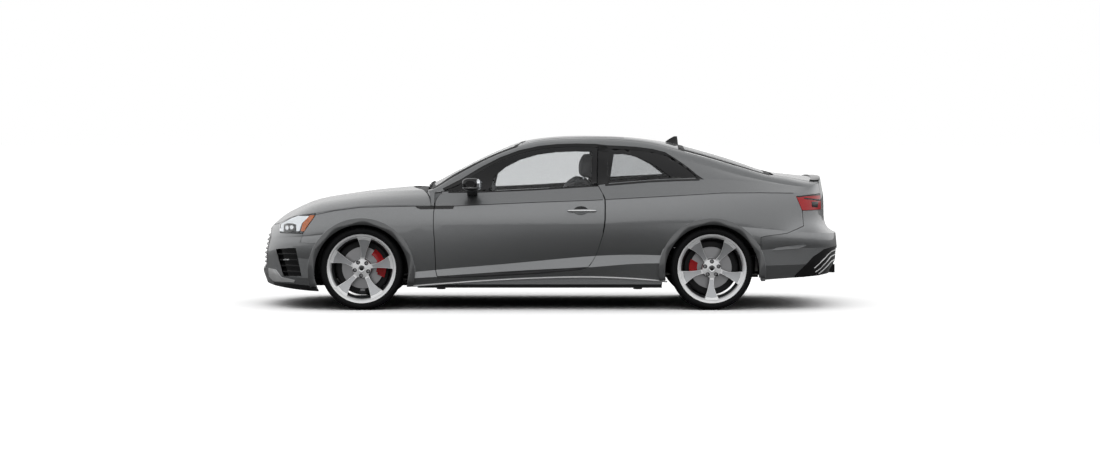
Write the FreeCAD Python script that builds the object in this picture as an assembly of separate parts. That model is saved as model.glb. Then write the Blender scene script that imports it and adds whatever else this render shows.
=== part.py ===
import FreeCAD, Part
import math
import os

# A two-door coupe car. Millimetres, +Z up, the nose towards -X and the car's left side towards -Y.
# The origin lies on the ground under the centre of the car's overall box.

V = FreeCAD.Vector
X_AXIS = V(1, 0, 0)
Y_AXIS = V(0, 1, 0)
Z_AXIS = V(0, 0, 1)

# Driving dimensions of the whole car
overall_length = 4697.0
wheelbase = 2764.0
front_overhang = 866.0
tyre_radius = 328.0
tyre_width = 255.0
wheel_plane_y = 783.0          # from the car's centre plane to the middle of each tyre

nose_x = -overall_length / 2
tail_x = overall_length / 2
front_axle_x = nose_x + front_overhang
rear_axle_x = front_axle_x + wheelbase
axle_z = tyre_radius

# Gaps and thicknesses
panel_gap = 5.0
seat_clearance = 0.3
glass_thickness = 5.0
side_depth = 100.0
door_thickness = 92.0
door_skin_thickness = 24.0
door_step = 16.0

# Wheel arches
arch_radius = 375.0
arch_drop = 23.0
arch_lip_width = 50.0

# Where the corners of the plan outline start, and how square they are
corner_start_front = -1700.0
corner_start_rear = 1700.0
corner_power_front = 2.1
corner_power_rear = 2.8
corner_power_deck = 4.0

parts_folder = "parts"


# Smooth functions through named points

def smooth(points):
    """A natural cubic through (x, value) points, straight beyond both ends."""
    xs = [p[0] for p in points]
    ys = [p[1] for p in points]
    n = len(xs)
    second = [0.0] * n
    if n > 2:
        h = [xs[i + 1] - xs[i] for i in range(n - 1)]
        lower = [0.0] * n
        upper = [0.0] * n
        for i in range(1, n - 1):
            slope_change = (ys[i + 1] - ys[i]) / h[i] - (ys[i] - ys[i - 1]) / h[i - 1]
            pivot = 2 * (h[i - 1] + h[i]) - h[i - 1] * lower[i - 1]
            lower[i] = h[i] / pivot
            upper[i] = (6 * slope_change - h[i - 1] * upper[i - 1]) / pivot
        for i in range(n - 2, 0, -1):
            second[i] = upper[i] - lower[i] * second[i + 1]

    def at(x):
        i = 0
        while i < n - 2 and x > xs[i + 1]:
            i += 1
        span = xs[i + 1] - xs[i]
        if n > 2:
            a_slope = (ys[i + 1] - ys[i]) / span - span * (2 * second[i] + second[i + 1]) / 6
            b_slope = (ys[i + 1] - ys[i]) / span + span * (second[i] + 2 * second[i + 1]) / 6
        else:
            a_slope = b_slope = (ys[i + 1] - ys[i]) / span
        if x < xs[0]:
            return ys[0] + a_slope * (x - xs[0])
        if x > xs[-1]:
            return ys[-1] + b_slope * (x - xs[-1])
        t = x - xs[i]
        curve = (second[i + 1] - second[i]) / (6 * span)
        return ys[i] + a_slope * t + second[i] / 2 * t * t + curve * t ** 3

    return at


def mix(a, b, t):
    return a + (b - a) * t


# The master lines of the body side. Each has its height along the car, its half width along
# the straight part of the side, and where it meets the centre plane at the nose and the tail.

class Line:
    def __init__(self, heights, widths, nose, tail, rear_power=corner_power_rear):
        self.height = smooth(heights)
        self.width = smooth(widths)
        self.nose = nose
        self.tail = tail
        self.rear_power = rear_power


hem = Line(
    [(-2318, 185), (-1900, 150), (-1483, 150), (-1200, 176), (-900, 196), (-500, 226), (-100, 246),
     (300, 256), (700, 240), (1000, 212), (1281, 205), (1700, 238), (2290, 270)],
    [(-1700, 872), (-1483, 876), (-500, 884), (500, 886), (1281, 878), (1700, 866)],
    -2318, 2290)
sill = Line(
    [(nose_x, 270), (-1900, 250), (-1483, 242), (-1100, 252), (-500, 291), (-100, 316),
     (300, 338), (843, 372), (1281, 352), (1700, 352), (2338, 372)],
    [(-1700, 893), (-1483, 902), (-900, 906), (-100, 909), (700, 908), (1281, 905), (1700, 894)],
    nose_x, 2338)
facet = Line(
    [(nose_x, 420), (-1900, 400), (-1483, 330), (-1100, 298), (-900, 318), (-500, 352), (-100, 388),
     (300, 424), (640, 438), (1000, 430), (1281, 436), (1700, 478), (tail_x - 3, 482)],
    [(-1700, 897), (-1483, 905), (-1100, 899), (-500, 888), (300, 886), (800, 890), (1281, 903), (1700, 897)],
    nose_x + 1, tail_x - 3)
waist = Line(
    [(-2322, 554), (-2000, 575), (-1700, 606), (-1200, 652), (-500, 668), (300, 682), (900, 690),
     (1281, 680), (1700, 642), (2334, 590)],
    [(-1700, 905), (-1483, 920), (-900, 919), (-100, 923), (500, 923), (1281, 922), (1700, 903)],
    -2322, 2334)
ledge = Line(
    [(-2310, 580), (-2000, 615), (-1700, 652), (-1200, 695), (-500, 715), (300, 733), (900, 744),
     (1281, 742), (1700, 712), (2256, 648)],
    [(-1700, 904), (-1483, 918), (-900, 917), (-100, 921), (500, 921), (1281, 921), (1700, 901)],
    -2310, 2256)
shoulder_low = Line(
    [(-2290, 612), (-2000, 672), (-1700, 712), (-1200, 752), (-500, 770), (300, 797), (900, 820),
     (1281, 830), (1700, 812), (2236, 730)],
    [(-1700, 897), (-1483, 912), (-900, 911), (-100, 915), (500, 915), (1281, 915), (1700, 896)],
    -2290, 2236)
shoulder = Line(
    [(-2262, 650), (-2174, 668), (-2083, 713), (-1981, 743), (-1847, 763), (-1700, 787), (-1483, 816),
     (-1200, 823), (-742, 826), (-100, 855), (343, 871), (933, 903), (1374, 928), (1925, 926), (2229, 905)],
    [(-1700, 886), (-1483, 902), (-900, 898), (-100, 903), (500, 903), (1281, 903), (1700, 885)],
    -2262, 2229)
belt = Line(
    [(-2150, 780), (-1847, 862), (-1483, 890), (-1200, 905), (-985, 922), (-830, 933), (-502, 940),
     (-140, 955), (344, 985), (788, 1019), (1183, 1033), (1400, 1026), (1752, 995), (1907, 979), (2032, 970),
     (2106, 985), (2166, 1018), (2196, 1041)],
    [(-1700, 760), (-1200, 772), (-830, 785), (-502, 799), (-140, 805), (344, 803), (788, 787), (1183, 752),
     (1400, 750), (1700, 752)],
    -2150, 2196, corner_power_deck)

corner_angles = [8, 18, 30, 42, 54, 66, 78, 90]
side_stations = [-1483, -1200, -900, -500, -100, 300, 700, 1000, 1281, 1500]
corner_lap = 2          # corner points repeated past the centre plane, so that the skin crosses it squarely


def corner_point(line, start, end, power, angle):
    s = math.sin(math.radians(angle)) ** (2 / power)
    c = max(math.cos(math.radians(angle)), 0.0) ** (2 / power)
    x = start + (end - start) * s
    return V(x, -line.width(start) * c, line.height(x))


def corner_points(line, start, end, power):
    """The plan corner between the side and the centre plane, from the side inwards."""
    points = [corner_point(line, start, end, power, angle) for angle in corner_angles]
    over = [V(p.x, -p.y, p.z) for p in points[-2:-2 - corner_lap:-1]]
    return points + over


def side_row(line):
    """One master line as points, from past the nose, along the left side, to past the tail."""
    front = corner_points(line, corner_start_front, line.nose, corner_power_front)
    rear = corner_points(line, corner_start_rear, line.tail, line.rear_power)
    straight = [V(x, -line.width(x), line.height(x))
                for x in [corner_start_front] + side_stations + [corner_start_rear]]
    return list(reversed(front)) + straight + rear


def chord_parameters(points):
    total = [0.0]
    for a, b in zip(points, points[1:]):
        total.append(total[-1] + a.distanceToPoint(b))
    return [t / total[-1] for t in total]


def fit(points, parameters):
    curve = Part.BSplineCurve()
    curve.interpolate(Points=points, Parameters=parameters)
    return curve


def skin(rows, along, across):
    """A smooth surface through rows of points."""
    fitted = [fit(row, along) for row in rows]
    columns = [fit([c.getPole(i + 1) for c in fitted], across) for i in range(fitted[0].NbPoles)]
    surface = Part.BSplineSurface()
    surface.buildFromPolesMultsKnots(
        [column.getPoles() for column in columns],
        fitted[0].getMultiplicities(), columns[0].getMultiplicities(),
        fitted[0].getKnots(), columns[0].getKnots(), False, False,
        fitted[0].Degree, columns[0].Degree)
    return surface


def swelled(a, b, t, swell):
    """A row of points between two rows, pushed outwards."""
    return [V(mix(p.x, q.x, t), mix(p.y, q.y, t) - swell * min(1.0, abs(p.y) / 600.0) * (1 if p.y < 0 else -1),
              mix(p.z, q.z, t)) for p, q in zip(a, b)]


side_rows = {name: side_row(line) for name, line in
             [("hem", hem), ("sill", sill), ("facet", facet), ("waist", waist), ("ledge", ledge),
              ("low", shoulder_low), ("shoulder", shoulder), ("belt", belt)]}
side_rows["mid"] = swelled(side_rows["facet"], side_rows["waist"], 0.55, 9.0)
along_side = chord_parameters(side_rows["waist"])

side_strips = [
    skin([side_rows["hem"], side_rows["sill"]], along_side, [0, 1]),
    skin([side_rows["sill"], side_rows["facet"]], along_side, [0, 1]),
    skin([side_rows["facet"], side_rows["mid"], side_rows["waist"]], along_side, [0, 0.55, 1]),
    skin([side_rows["waist"], side_rows["ledge"], side_rows["low"], side_rows["shoulder"]],
         along_side, [0, 0.3, 0.6, 1]),
    skin([side_rows["shoulder"], side_rows["belt"]], along_side, [0, 1])]


# The canopy: windscreen, roof, side windows, rear window and boot deck as one smooth surface from
# belt to belt. Its rear edge is the belt line's corner, and its rows fan out to it.

centre_height = smooth(
    [(-1115, 962), (-985, 974), (-919, 1001), (-787, 1073), (-655, 1141), (-524, 1207), (-392, 1265), (-260, 1315),
     (-128, 1345), (70, 1368), (268, 1373), (466, 1371), (729, 1354), (927, 1326), (1059, 1300), (1191, 1265),
     (1323, 1229), (1455, 1189), (1587, 1143), (1719, 1100), (1800, 1078), (1950, 1060), (2080, 1047), (2196, 1041)])
screen_edge_height = smooth(
    [(-985, 938), (-930, 952), (-830, 1008), (-675, 1100), (-450, 1213), (-264, 1284), (-117, 1322), (100, 1345),
     (350, 1351), (604, 1342), (850, 1310), (1031, 1264), (1200, 1219), (1400, 1159), (1600, 1098), (1752, 1056),
     (1900, 1029), (2106, 985)])
screen_edge_width = smooth(
    [(-985, 738), (-930, 735), (-675, 686), (-450, 632), (-264, 592), (-117, 567), (100, 552), (350, 545), (604, 537),
     (850, 525), (1031, 520), (1400, 556), (1752, 632), (1950, 650), (2106, 648)])
rail_height = smooth(
    [(-985, 927), (-880, 935), (-800, 956), (-674, 1016), (-506, 1117), (-385, 1177), (-263, 1224), (-141, 1255),
     (-19, 1275), (163, 1286), (347, 1284), (469, 1276), (649, 1266), (832, 1243), (1031, 1202), (1200, 1155),
     (1400, 1097), (1600, 1046), (1752, 1014), (1900, 988), (2022, 970)])
rail_width = smooth(
    [(-985, 764), (-880, 772), (-800, 768), (-674, 744), (-506, 707), (-385, 681), (-263, 657), (-141, 641),
     (-19, 633), (163, 628), (469, 620), (832, 605), (1031, 598), (1200, 606), (1400, 637), (1600, 677), (1752, 703),
     (1900, 715), (2022, 716)])

canopy_stations = [-985, -900, -800, -680, -540, -390, -230, -60, 150, 400, 650, 860, 1050, 1250, 1450, 1650, 1800,
                   1950, 2080, 2196]
fan_start = 1050
edge_angles = {"belt": 10, "glass": 16, "rail": 25, "turn": 33, "screen": 42, "crown": 62, "brow": 78}


def canopy_row(name, height, width):
    """One row of the canopy on the left side, ending on the belt line's rear corner."""
    end = corner_point(belt, corner_start_rear, belt.tail, corner_power_deck, edge_angles[name])
    row = []
    for station in canopy_stations[:-1]:
        x = station
        if station > fan_start:
            x = fan_start + (station - fan_start) * (end.x - fan_start) / (belt.tail - fan_start)
        row.append(V(x, -width(x), height(x)))
    return row + [end]


def between(a, b, share, bulge, plan_share):
    """Height and width functions between two lines, raised by a bulge that fades out at the tail."""
    def fade(x):
        return max(0.0, min(1.0, (x + 985) / 250.0)) * max(0.0, min(1.0, (1900 - x) / 500.0))
    height = lambda x: mix(a[0](x), b[0](x), share) + bulge * fade(x)
    width = lambda x: mix(a[1](x), b[1](x), plan_share)
    return height, width


rail = (rail_height, rail_width)
screen_edge = (screen_edge_height, screen_edge_width)
belt_pair = (belt.height, belt.width)
centre = (centre_height, lambda x: 0.0)

canopy_half = [
    canopy_row("belt", *belt_pair),
    canopy_row("glass", *between(belt_pair, rail, 0.5, 0.0, 0.42)),
    canopy_row("rail", *rail),
    canopy_row("turn", *between(rail, screen_edge, 0.62, 3.0, 0.42)),
    canopy_row("screen", *screen_edge),
    canopy_row("crown", lambda x: mix(screen_edge_height(x), centre_height(x), 0.72),
               lambda x: 0.56 * screen_edge_width(x)),
    canopy_row("brow", lambda x: mix(screen_edge_height(x), centre_height(x), 0.93),
               lambda x: 0.27 * screen_edge_width(x))]
centre_row = [V(x, 0, centre_height(x)) for x in canopy_stations]
top_half = canopy_half[2:]
top_rows = top_half + [centre_row] + [[V(p.x, -p.y, p.z) for p in row] for row in reversed(top_half)]
middle = len(canopy_stations) // 2
across_top = chord_parameters([row[middle] for row in top_rows])
along_canopy = chord_parameters(canopy_half[4])
canopy = skin(top_rows, along_canopy, across_top)
canopy_side = skin(canopy_half[:3], along_canopy, [0, 0.5, 1])
canopy_left = canopy.copy()
canopy_left.segment(0, 1, 0, across_top[3])


# The bonnet's surface over a plain grid, meeting the shoulder line at its edge.

def plan_width(line, x):
    """Half width of a master line at x, through the front corner."""
    if x >= corner_start_front:
        return line.width(x)
    s = min(1.0, (corner_start_front - x) / (corner_start_front - line.nose))
    return line.width(corner_start_front) * (1 - s ** corner_power_front) ** (1 / corner_power_front)


bonnet_centre = smooth(
    [(-2280, 628), (-2262, 650), (-2238, 671), (-2172, 727), (-2106, 764), (-2040, 798), (-1974, 826), (-1908, 850),
     (-1842, 867), (-1711, 888), (-1579, 909), (-1447, 926), (-1315, 941), (-1183, 953), (-1051, 962), (-900, 970)])
bonnet_stations = [-2262, -2230, -2190, -2140, -2080, -2000, -1900, -1780, -1640, -1480, -1320, -1160, -1020, -900]
bonnet_offsets = [0, 120, 240, 330, 400, 450, 500, 560, 640, 720, 790, 850, 900, 960]
round_power = 6
crease_height = 5.0


def bonnet_height(x, y):
    edge = max(plan_width(shoulder, x), 200.0)
    drop = bonnet_centre(x) - shoulder.height(x)
    rounded = 0.62 * max(0.0, min(1.0, (x + 2150) / 300.0))
    t = y / edge
    crease_y = mix(330, 560, max(0.0, min(1.0, (x + 2150) / 1100.0)))
    crease = crease_height * max(0.0, min(1.0, (x + 2150) / 500.0)) * math.exp(-((y - crease_y) / 70.0) ** 2)
    return bonnet_centre(x) - drop * ((1 - rounded) * t * t + rounded * t ** round_power) + crease


def bonnet_row(y):
    return [V(x, y, bonnet_height(x, abs(y))) for x in bonnet_stations]


bonnet_ys = [-y for y in reversed(bonnet_offsets[1:])] + bonnet_offsets
bonnet_rows = [bonnet_row(y) for y in bonnet_ys]
bonnet_skin = skin(bonnet_rows, chord_parameters(bonnet_rows[13]), chord_parameters([V(0, y, 0) for y in bonnet_ys]))


def slab(surfaces, inward):
    """A closed solid between neighbouring surfaces and the same surfaces moved inwards."""
    faces = []
    for surface in surfaces:
        face = surface.toShape()
        moved = face.copy()
        moved.translate(inward)
        faces += [face, moved]
    count = len(surfaces)
    for k, surface in enumerate(surfaces):
        u0, u1, v0, v1 = surface.bounds()
        edges = [surface.uIso(u0).toShape(), surface.uIso(u1).toShape()]
        if k == 0:
            edges.append(surface.vIso(v0).toShape())
        if k == count - 1:
            edges.append(surface.vIso(v1).toShape())
        faces += [edge.extrude(inward) for edge in edges]
    shell = Part.Compound(faces)
    shell.sewShape()
    solid = Part.Solid(shell.Shells[0])
    if solid.Volume < 0:
        solid.reverse()
    return solid



# Outlines are lists of runs. A run of two points is a straight line, and a longer one a smooth curve.

def run_edges(runs, place):
    edges = []
    for run in runs:
        points = [place(a, b) for a, b in run]
        if len(points) == 2:
            edges.append(Part.makeLine(points[0], points[1]))
        else:
            curve = Part.BSplineCurve()
            curve.interpolate(points)
            edges.append(curve.toShape())
    return edges


def outline_face(runs, place):
    first, last = runs[0][0], runs[-1][-1]
    if math.hypot(first[0] - last[0], first[1] - last[1]) > 1e-6:
        runs = runs + [[last, first]]
    return Part.Face(Part.Wire(run_edges(runs, place)))


def chain(points):
    """Straight runs through a list of points."""
    return [[a, b] for a, b in zip(points, points[1:])]


def side_prism(runs, y0, y1):
    return outline_face(runs, lambda x, z: V(x, y0, z)).extrude(V(0, y1 - y0, 0))


def plan_prism(runs, z0, z1):
    return outline_face(runs, lambda x, y: V(x, y, z0)).extrude(V(0, 0, z1 - z0))


def front_prism(runs, x0, x1):
    return outline_face(runs, lambda y, z: V(x0, y, z)).extrude(V(x1 - x0, 0, 0))


def block(x0, x1, y0, y1, z0, z1):
    return Part.makeBox(x1 - x0, y1 - y0, z1 - z0, V(x0, y0, z0))


def rod(radius, start, end):
    return Part.makeCylinder(radius, start.distanceToPoint(end), start, end - start)


def mirrored(shape):
    return shape.mirror(V(0, 0, 0), Y_AXIS)


def moved(shape, x, y, z):
    copy = shape.copy()
    copy.translate(V(x, y, z))
    return copy


def both_sides(shape):
    """A left piece with its right-hand twin, as two separate solids."""
    return Part.Compound(solids(shape) + solids(mirrored(shape)))


def solids(shape):
    return [s for s in shape.Solids]


def largest(shape):
    """The main solid of a cut, without the scraps that it leaves."""
    return max(shape.Solids, key=lambda s: s.Volume)


# Arch openings and their lips

arch_z = axle_z - arch_drop
lip_y = 921.0
lip_inner_y = 880.0


def arch_cut(axle_x, radius):
    return Part.makeCylinder(radius, 380, V(axle_x, -1020, arch_z), Y_AXIS)


def arch_lip(axle_x):
    r0, r1 = arch_radius, arch_radius + arch_lip_width
    profile = [(r0, -lip_inner_y), (r0, -lip_y), (r0 + 14, -lip_y), (r1, -lip_y + 16), (r1, -lip_inner_y)]
    face = outline_face(chain(profile), lambda r, y: V(axle_x + r, y, arch_z))
    return face.revolve(V(axle_x, 0, arch_z), Y_AXIS, 360)


# The door hinge line, and the round front edge that turns about it

hinge_x = -850.0
hinge_y = 864.0
hinge_heights = [400.0, 720.0]
pin_radius = 5.0
barrel_radius = 9.0
door_front = smooth([(196, -872), (255, -882), (330, -896), (450, -906), (653, -912), (799, -906), (842, -899),
                     (880, -885), (905, -868), (940, -845)])
door_rear = smooth([(240, 236), (337, 298), (415, 355), (548, 403), (657, 432), (777, 439), (873, 438), (921, 416),
                    (980, 384), (1010, 372)])


def side_width_near(x, z):
    """Half width of the side at x and z, between the master lines."""
    lines = [hem, sill, facet, waist, ledge, shoulder_low, shoulder, belt]
    stack = [(line.height(x), line.width(x)) for line in lines]
    for (z0, w0), (z1, w1) in zip(stack, stack[1:]):
        if z <= z1:
            return mix(w0, w1, max(0.0, (z - z0) / (z1 - z0)))
    return stack[-1][1]


def hinge_core(extra):
    """All that lies nearer to the door's hinge line than the door's front edge."""
    heights = [190, 255, 330, 450, 560, 653, 740, 799, 842, 880, 905, 940]
    radii = [math.hypot(min(door_front(z), hinge_x) - hinge_x, side_width_near(door_front(z), z) - hinge_y) + extra
             for z in heights]
    place = lambda r, z: V(hinge_x + r, -hinge_y, z)
    runs = [[(0, heights[0]), (radii[0], heights[0])], list(zip(radii, heights)),
            [(radii[-1], heights[-1]), (0, heights[-1])]]
    return outline_face(runs, place).revolve(V(hinge_x, -hinge_y, 0), Z_AXIS, 360)


def door_region(inset, forward):
    """The door seen from the side, drawn in by an inset, from a given front."""
    xs = [-1000, -700, -400, -100, 200, 420]
    bottom = [(x, sill.height(x) + panel_gap + inset) for x in xs]
    heights = [230, 337, 415, 548, 657, 777, 873, 921, 980, 1010]
    rear = [(door_rear(z) - inset, z) for z in heights]
    side = side_prism([[(forward, 1010)] + [(forward, 100)], [(forward, 100), (rear[0][0], 100)],
                       [(rear[0][0], 100), rear[0]], rear], -1000, -650)
    above = side_prism([bottom, [bottom[-1], (420, 1200)], [(420, 1200), (-1000, 1200)]], -1000, -650)
    return side.common(above)


# Bonnet outline in plan

bonnet_edge_inset = 9.0
bonnet_thickness = 26.0
bonnet_hinge = V(-945, 0, 925)
bonnet_arm_y = 620.0


def shoulder_plan(inset):
    """The shoulder line in plan on the left side, drawn in by an inset, from the screen to the nose."""
    points = [(x, -shoulder.width(x) + inset) for x in [-880, -1050, -1250, -1483]]
    a = corner_start_front - shoulder.nose
    b = shoulder.width(corner_start_front)
    n = corner_power_front
    for angle in [0] + corner_angles:
        s = math.sin(math.radians(angle)) ** (2 / n)
        c = max(math.cos(math.radians(angle)), 0.0) ** (2 / n)
        nx, ny = s ** (n - 1) / a, c ** (n - 1) / b
        size = math.hypot(nx, ny)
        points.append((corner_start_front - a * s + inset * nx / size, -(b * c - inset * ny / size)))
    return points


def bonnet_region(grow):
    left = shoulder_plan(bonnet_edge_inset - grow)
    right = [(x, -y) for x, y in reversed(left[:-1])]
    rear_half = [(-935, 905), (-950, 800), (-974, 700), (-1003, 600), (-1064, 400), (-1103, 200)]
    left_half = [(x + grow, -y) for x, y in rear_half]
    right_half = [(x + grow, y) for x, y in reversed(rear_half)]
    rear = left_half + [(-1115 + grow, 0)] + right_half
    rim = plan_prism([left + right], 400, 1200)
    front = plan_prism([rear, [rear[-1], (-2500, 905)], [(-2500, 905), (-2500, -905)]], 400, 1200)
    return rim.common(front)


def bonnet_room():
    """The space that the bonnet and its gap take from the pieces around it."""
    thick = moved(slab([bonnet_skin], V(0, 0, -bonnet_thickness - panel_gap - 60)), 0, 0, 60)
    return thick.common(bonnet_region(panel_gap))


# Glass outlines in plan, drawn out by a margin

glass_seat = 20.0
glass_gap = 3.0
screen_top_x = -190.0
rear_glass_top_x = 1044.0
rear_glass_bottom_x = 1783.0


def windscreen_region(grow):
    g = grow
    base = [(-928, -728 - g), (-966 - g, -420), (-983 - g, 0), (-966 - g, 420), (-928, 728 + g)]
    side = [(-928, 728 + g), (-675, 684 + g), (-450, 630 + g), (-262 + g, 590 + g)]
    top = [(-262 + g, 590 + g), (screen_top_x - 15 + g, 300), (screen_top_x + g, 0), (screen_top_x - 15 + g, -300),
           (-262 + g, -590 - g)]
    other = [(x, -y) for x, y in reversed(side)]
    return plan_prism([base, side, top, other], 850, 1420)


def rear_glass_region(grow):
    g = grow
    top = [(1036 - g, -512 - g), (rear_glass_top_x - g, 0), (1036 - g, 512 + g)]
    side = [(1036 - g, 512 + g), (1200, 520 + g), (1400, 546 + g), (1600, 585 + g), (1752 + g, 620 + g)]
    bottom = [(1752 + g, 620 + g), (1776 + g, 300), (rear_glass_bottom_x + g, 0), (1776 + g, -300),
              (1752 + g, -620 - g)]
    other = [(x, -y) for x, y in reversed(side)]
    return plan_prism([top, side, bottom, other], 850, 1420)


roof_glass_rear_x = 606.0


def roof_glass_region(grow):
    g = grow
    front = [(-226 - g, -530 - g), (screen_top_x + 26 - g, 0), (-226 - g, 530 + g)]
    side = [(-226 - g, 530 + g), (-60, 520 + g), (250, 505 + g), (roof_glass_rear_x - 8 + g, 498 + g)]
    rear = [(roof_glass_rear_x - 8 + g, 498 + g), (roof_glass_rear_x + g, 0), (roof_glass_rear_x - 8 + g, -498 - g)]
    other = [(x, -y) for x, y in reversed(side)]
    return plan_prism([front, side, rear, other], 850, 1420)


def glass_room(region):
    """The rebate that a glass and its gap take out of its frame."""
    return moved(slab([canopy], V(0, 0, -40 - glass_thickness - seat_clearance)), 0, 0, 40).common(region)


def pane(region):
    return slab([canopy], V(0, 0, -glass_thickness)).common(region)


# Boot lid

lid_front_x = 1797.0
lid_half_width = 560.0
lid_hinge = V(1837, 0, 1032)
lid_bottom_z = 702.0
lid_hinge_reach = math.hypot(40, 43)
post_radius = 7.0              # head of the posts that carry the lid


def lid_region(grow):
    g = grow
    w = lid_half_width + g
    half = [(lid_front_x - g, -w + 8), (2000, -w), (2400, -w)]
    return plan_prism(chain(half + [(x, -y) for x, y in reversed(half)]), lid_bottom_z - g, 1200)


def lid_swing(extra):
    """The round front edge of the boot lid about its hinge line."""
    return rod(lid_hinge_reach + extra, V(lid_hinge.x, -800, lid_hinge.z), V(lid_hinge.x, 800, lid_hinge.z))


def boot_lid():
    deck = slab([canopy], V(0, 0, -bonnet_thickness))
    back = slab(side_strips[3:], V(-45, 25, 0)).common(block(1700, 2400, -700, 0.5, 500, 1200))
    back = back.fuse(mirrored(back))
    behind = block(lid_hinge.x, 2400, -800, 800, 600, 1200).fuse(lid_swing(0))
    lid = largest(deck.fuse(back).common(lid_region(0)).common(behind))
    for side in (-1, 1):
        for y0, y1 in ((438, 442.5), (449.5, 471)):
            clear = post_radius + panel_gap
            lid = lid.cut(rod(clear, V(lid_hinge.x, side * y0, lid_hinge.z), V(lid_hinge.x, side * y1, lid_hinge.z)))
    for y in (-450, 442):
        lug = block(lid_hinge.x - 7, lid_hinge.x + 7, y, y + 8, lid_hinge.z, lid_hinge.z + 16)
        ring = rod(barrel_radius, V(lid_hinge.x, y, lid_hinge.z), V(lid_hinge.x, y + 8, lid_hinge.z))
        hole = rod(pin_radius + seat_clearance, V(lid_hinge.x, y - 1, lid_hinge.z),
                   V(lid_hinge.x, y + 9, lid_hinge.z))
        lid = lid.fuse(lug.fuse(ring)).cut(hole)
    return largest(lid)


def bonnet():
    shape = slab([bonnet_skin], V(0, 0, -bonnet_thickness)).common(bonnet_region(0))
    for side in (-1, 1):
        y0 = side * bonnet_arm_y - 5
        arm = side_prism(chain([(-1080, 886), (-1010, 886), (-938, 917), (-940, 933), (-952, 931), (-1012, 906),
                                (-1080, 906)]),
                         y0, y0 + 10)
        ring = rod(10, V(bonnet_hinge.x, y0, bonnet_hinge.z), V(bonnet_hinge.x, y0 + 10, bonnet_hinge.z))
        hole = rod(pin_radius + seat_clearance, V(bonnet_hinge.x, y0 - 1, bonnet_hinge.z),
                   V(bonnet_hinge.x, y0 + 11, bonnet_hinge.z))
        shape = shape.fuse(arm.fuse(ring)).cut(hole)
    return largest(shape)


# Left side window outline, from the side

def window_top(inset, x_from, x_to):
    xs = [x_from + (x_to - x_from) * k / 8 for k in range(9)]
    return [(x, rail_height(x) - inset) for x in xs]


def door_window(inset):
    top = window_top(inset, -838 + 1.6 * inset, 390 - inset)
    rear_end = (378 - inset, 900)
    return side_prism([top, [top[-1], rear_end], [rear_end, (-838 + 1.6 * inset, 900)]], -1000, -500)


pillar_front_top = 465.0
quarter_tip = 1172.0


def quarter_window(inset):
    g = inset
    top = [(pillar_front_top + g, 1270 - g), (560, 1266 - g), (700, 1258 - g), (832, 1241 - g), (936, 1214 - g)]
    slope = [(936, 1214 - g), (1006, 1170 - g), (1077, 1122 - g), (1130 - g, 1080 - g),
             (quarter_tip - 2 * g, 1042 + g)]
    bottom = [(quarter_tip - 2 * g, 1042 + g), (1001, 1036 + g), (788, 1026 + g), (578, 1008 + g),
              (462 + g, 1000 + g)]
    return side_prism([top, slope, bottom], -1000, -500)


door_glass_depth = 6.0


def door_glass():
    sheet = moved(slab([canopy_side], V(0, glass_thickness + 1, 0)), 0, door_glass_depth, 0)
    sheet = sheet.common(door_window(7))
    seat = moved(slab(side_strips[3:], V(0, 160, 0)), 0, 0, seat_clearance)
    return largest(sheet.cut(seat))


def quarter_glass():
    sheet = moved(slab([canopy_side], V(0, glass_thickness + 1, 0)), 0, 3, 0)
    return largest(sheet.common(quarter_window(0.2)))


def hinge_bracket(z):
    """Body half of a door hinge: a bent arm from the pillar, and its pin."""
    x, y = hinge_x, -hinge_y
    arm = plan_prism(chain([(x - 6, y + 2), (x - 20, y + 40), (x - 26, y + 60), (x - 88, y + 60), (x - 96, y + 46),
                            (x - 108, y + 46), (x - 108, y + 72), (x - 14, y + 72), (x + 6, y + 5)]), z - 10, z + 10)
    eye = rod(barrel_radius, V(x, y, z - 10), V(x, y, z + 10))
    pin = rod(pin_radius, V(x, y, z - 34), V(x, y, z + 34))
    return arm.fuse(eye).fuse(pin)


def hinge_barrels(z):
    """Door half of a hinge: two eyes around the pin."""
    x, y = hinge_x, -hinge_y
    shapes = []
    for z0 in (z - 32, z + 12):
        lug = block(x, x + 24, y - 6, y + 6, z0, z0 + 20)
        eye = rod(barrel_radius, V(x, y, z0), V(x, y, z0 + 20))
        shapes.append(lug.fuse(eye).cut(rod(pin_radius + seat_clearance, V(x, y, z0 - 1), V(x, y, z0 + 21))))
    return shapes


handle_z = 786.0
handle_foot_length = 26.0


def door():
    ahead = block(hinge_x, 600, -1000, -600, 0, 1200).fuse(hinge_core(0))
    outer = slab(side_strips[1:], V(0, door_skin_thickness, 0)).common(door_region(0, -990)).common(ahead)
    inner = slab(side_strips[1:], V(0, door_thickness - door_skin_thickness + 1, 0))
    inner = moved(inner, 0, door_skin_thickness - 1, 0)
    inner = inner.common(door_region(door_step, hinge_x + 17))
    shape = largest(outer.fuse(inner))
    cup = Part.makeSphere(1, V(0, 0, 0))
    stretch = FreeCAD.Matrix()
    stretch.scale(58, 24, 36)
    cup = cup.transformGeometry(stretch)
    shape = shape.cut(moved(cup, 247, -920, handle_z + 2))
    for z in hinge_heights:
        for barrel in hinge_barrels(z):
            shape = shape.fuse(barrel)
    return largest(shape)


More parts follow.
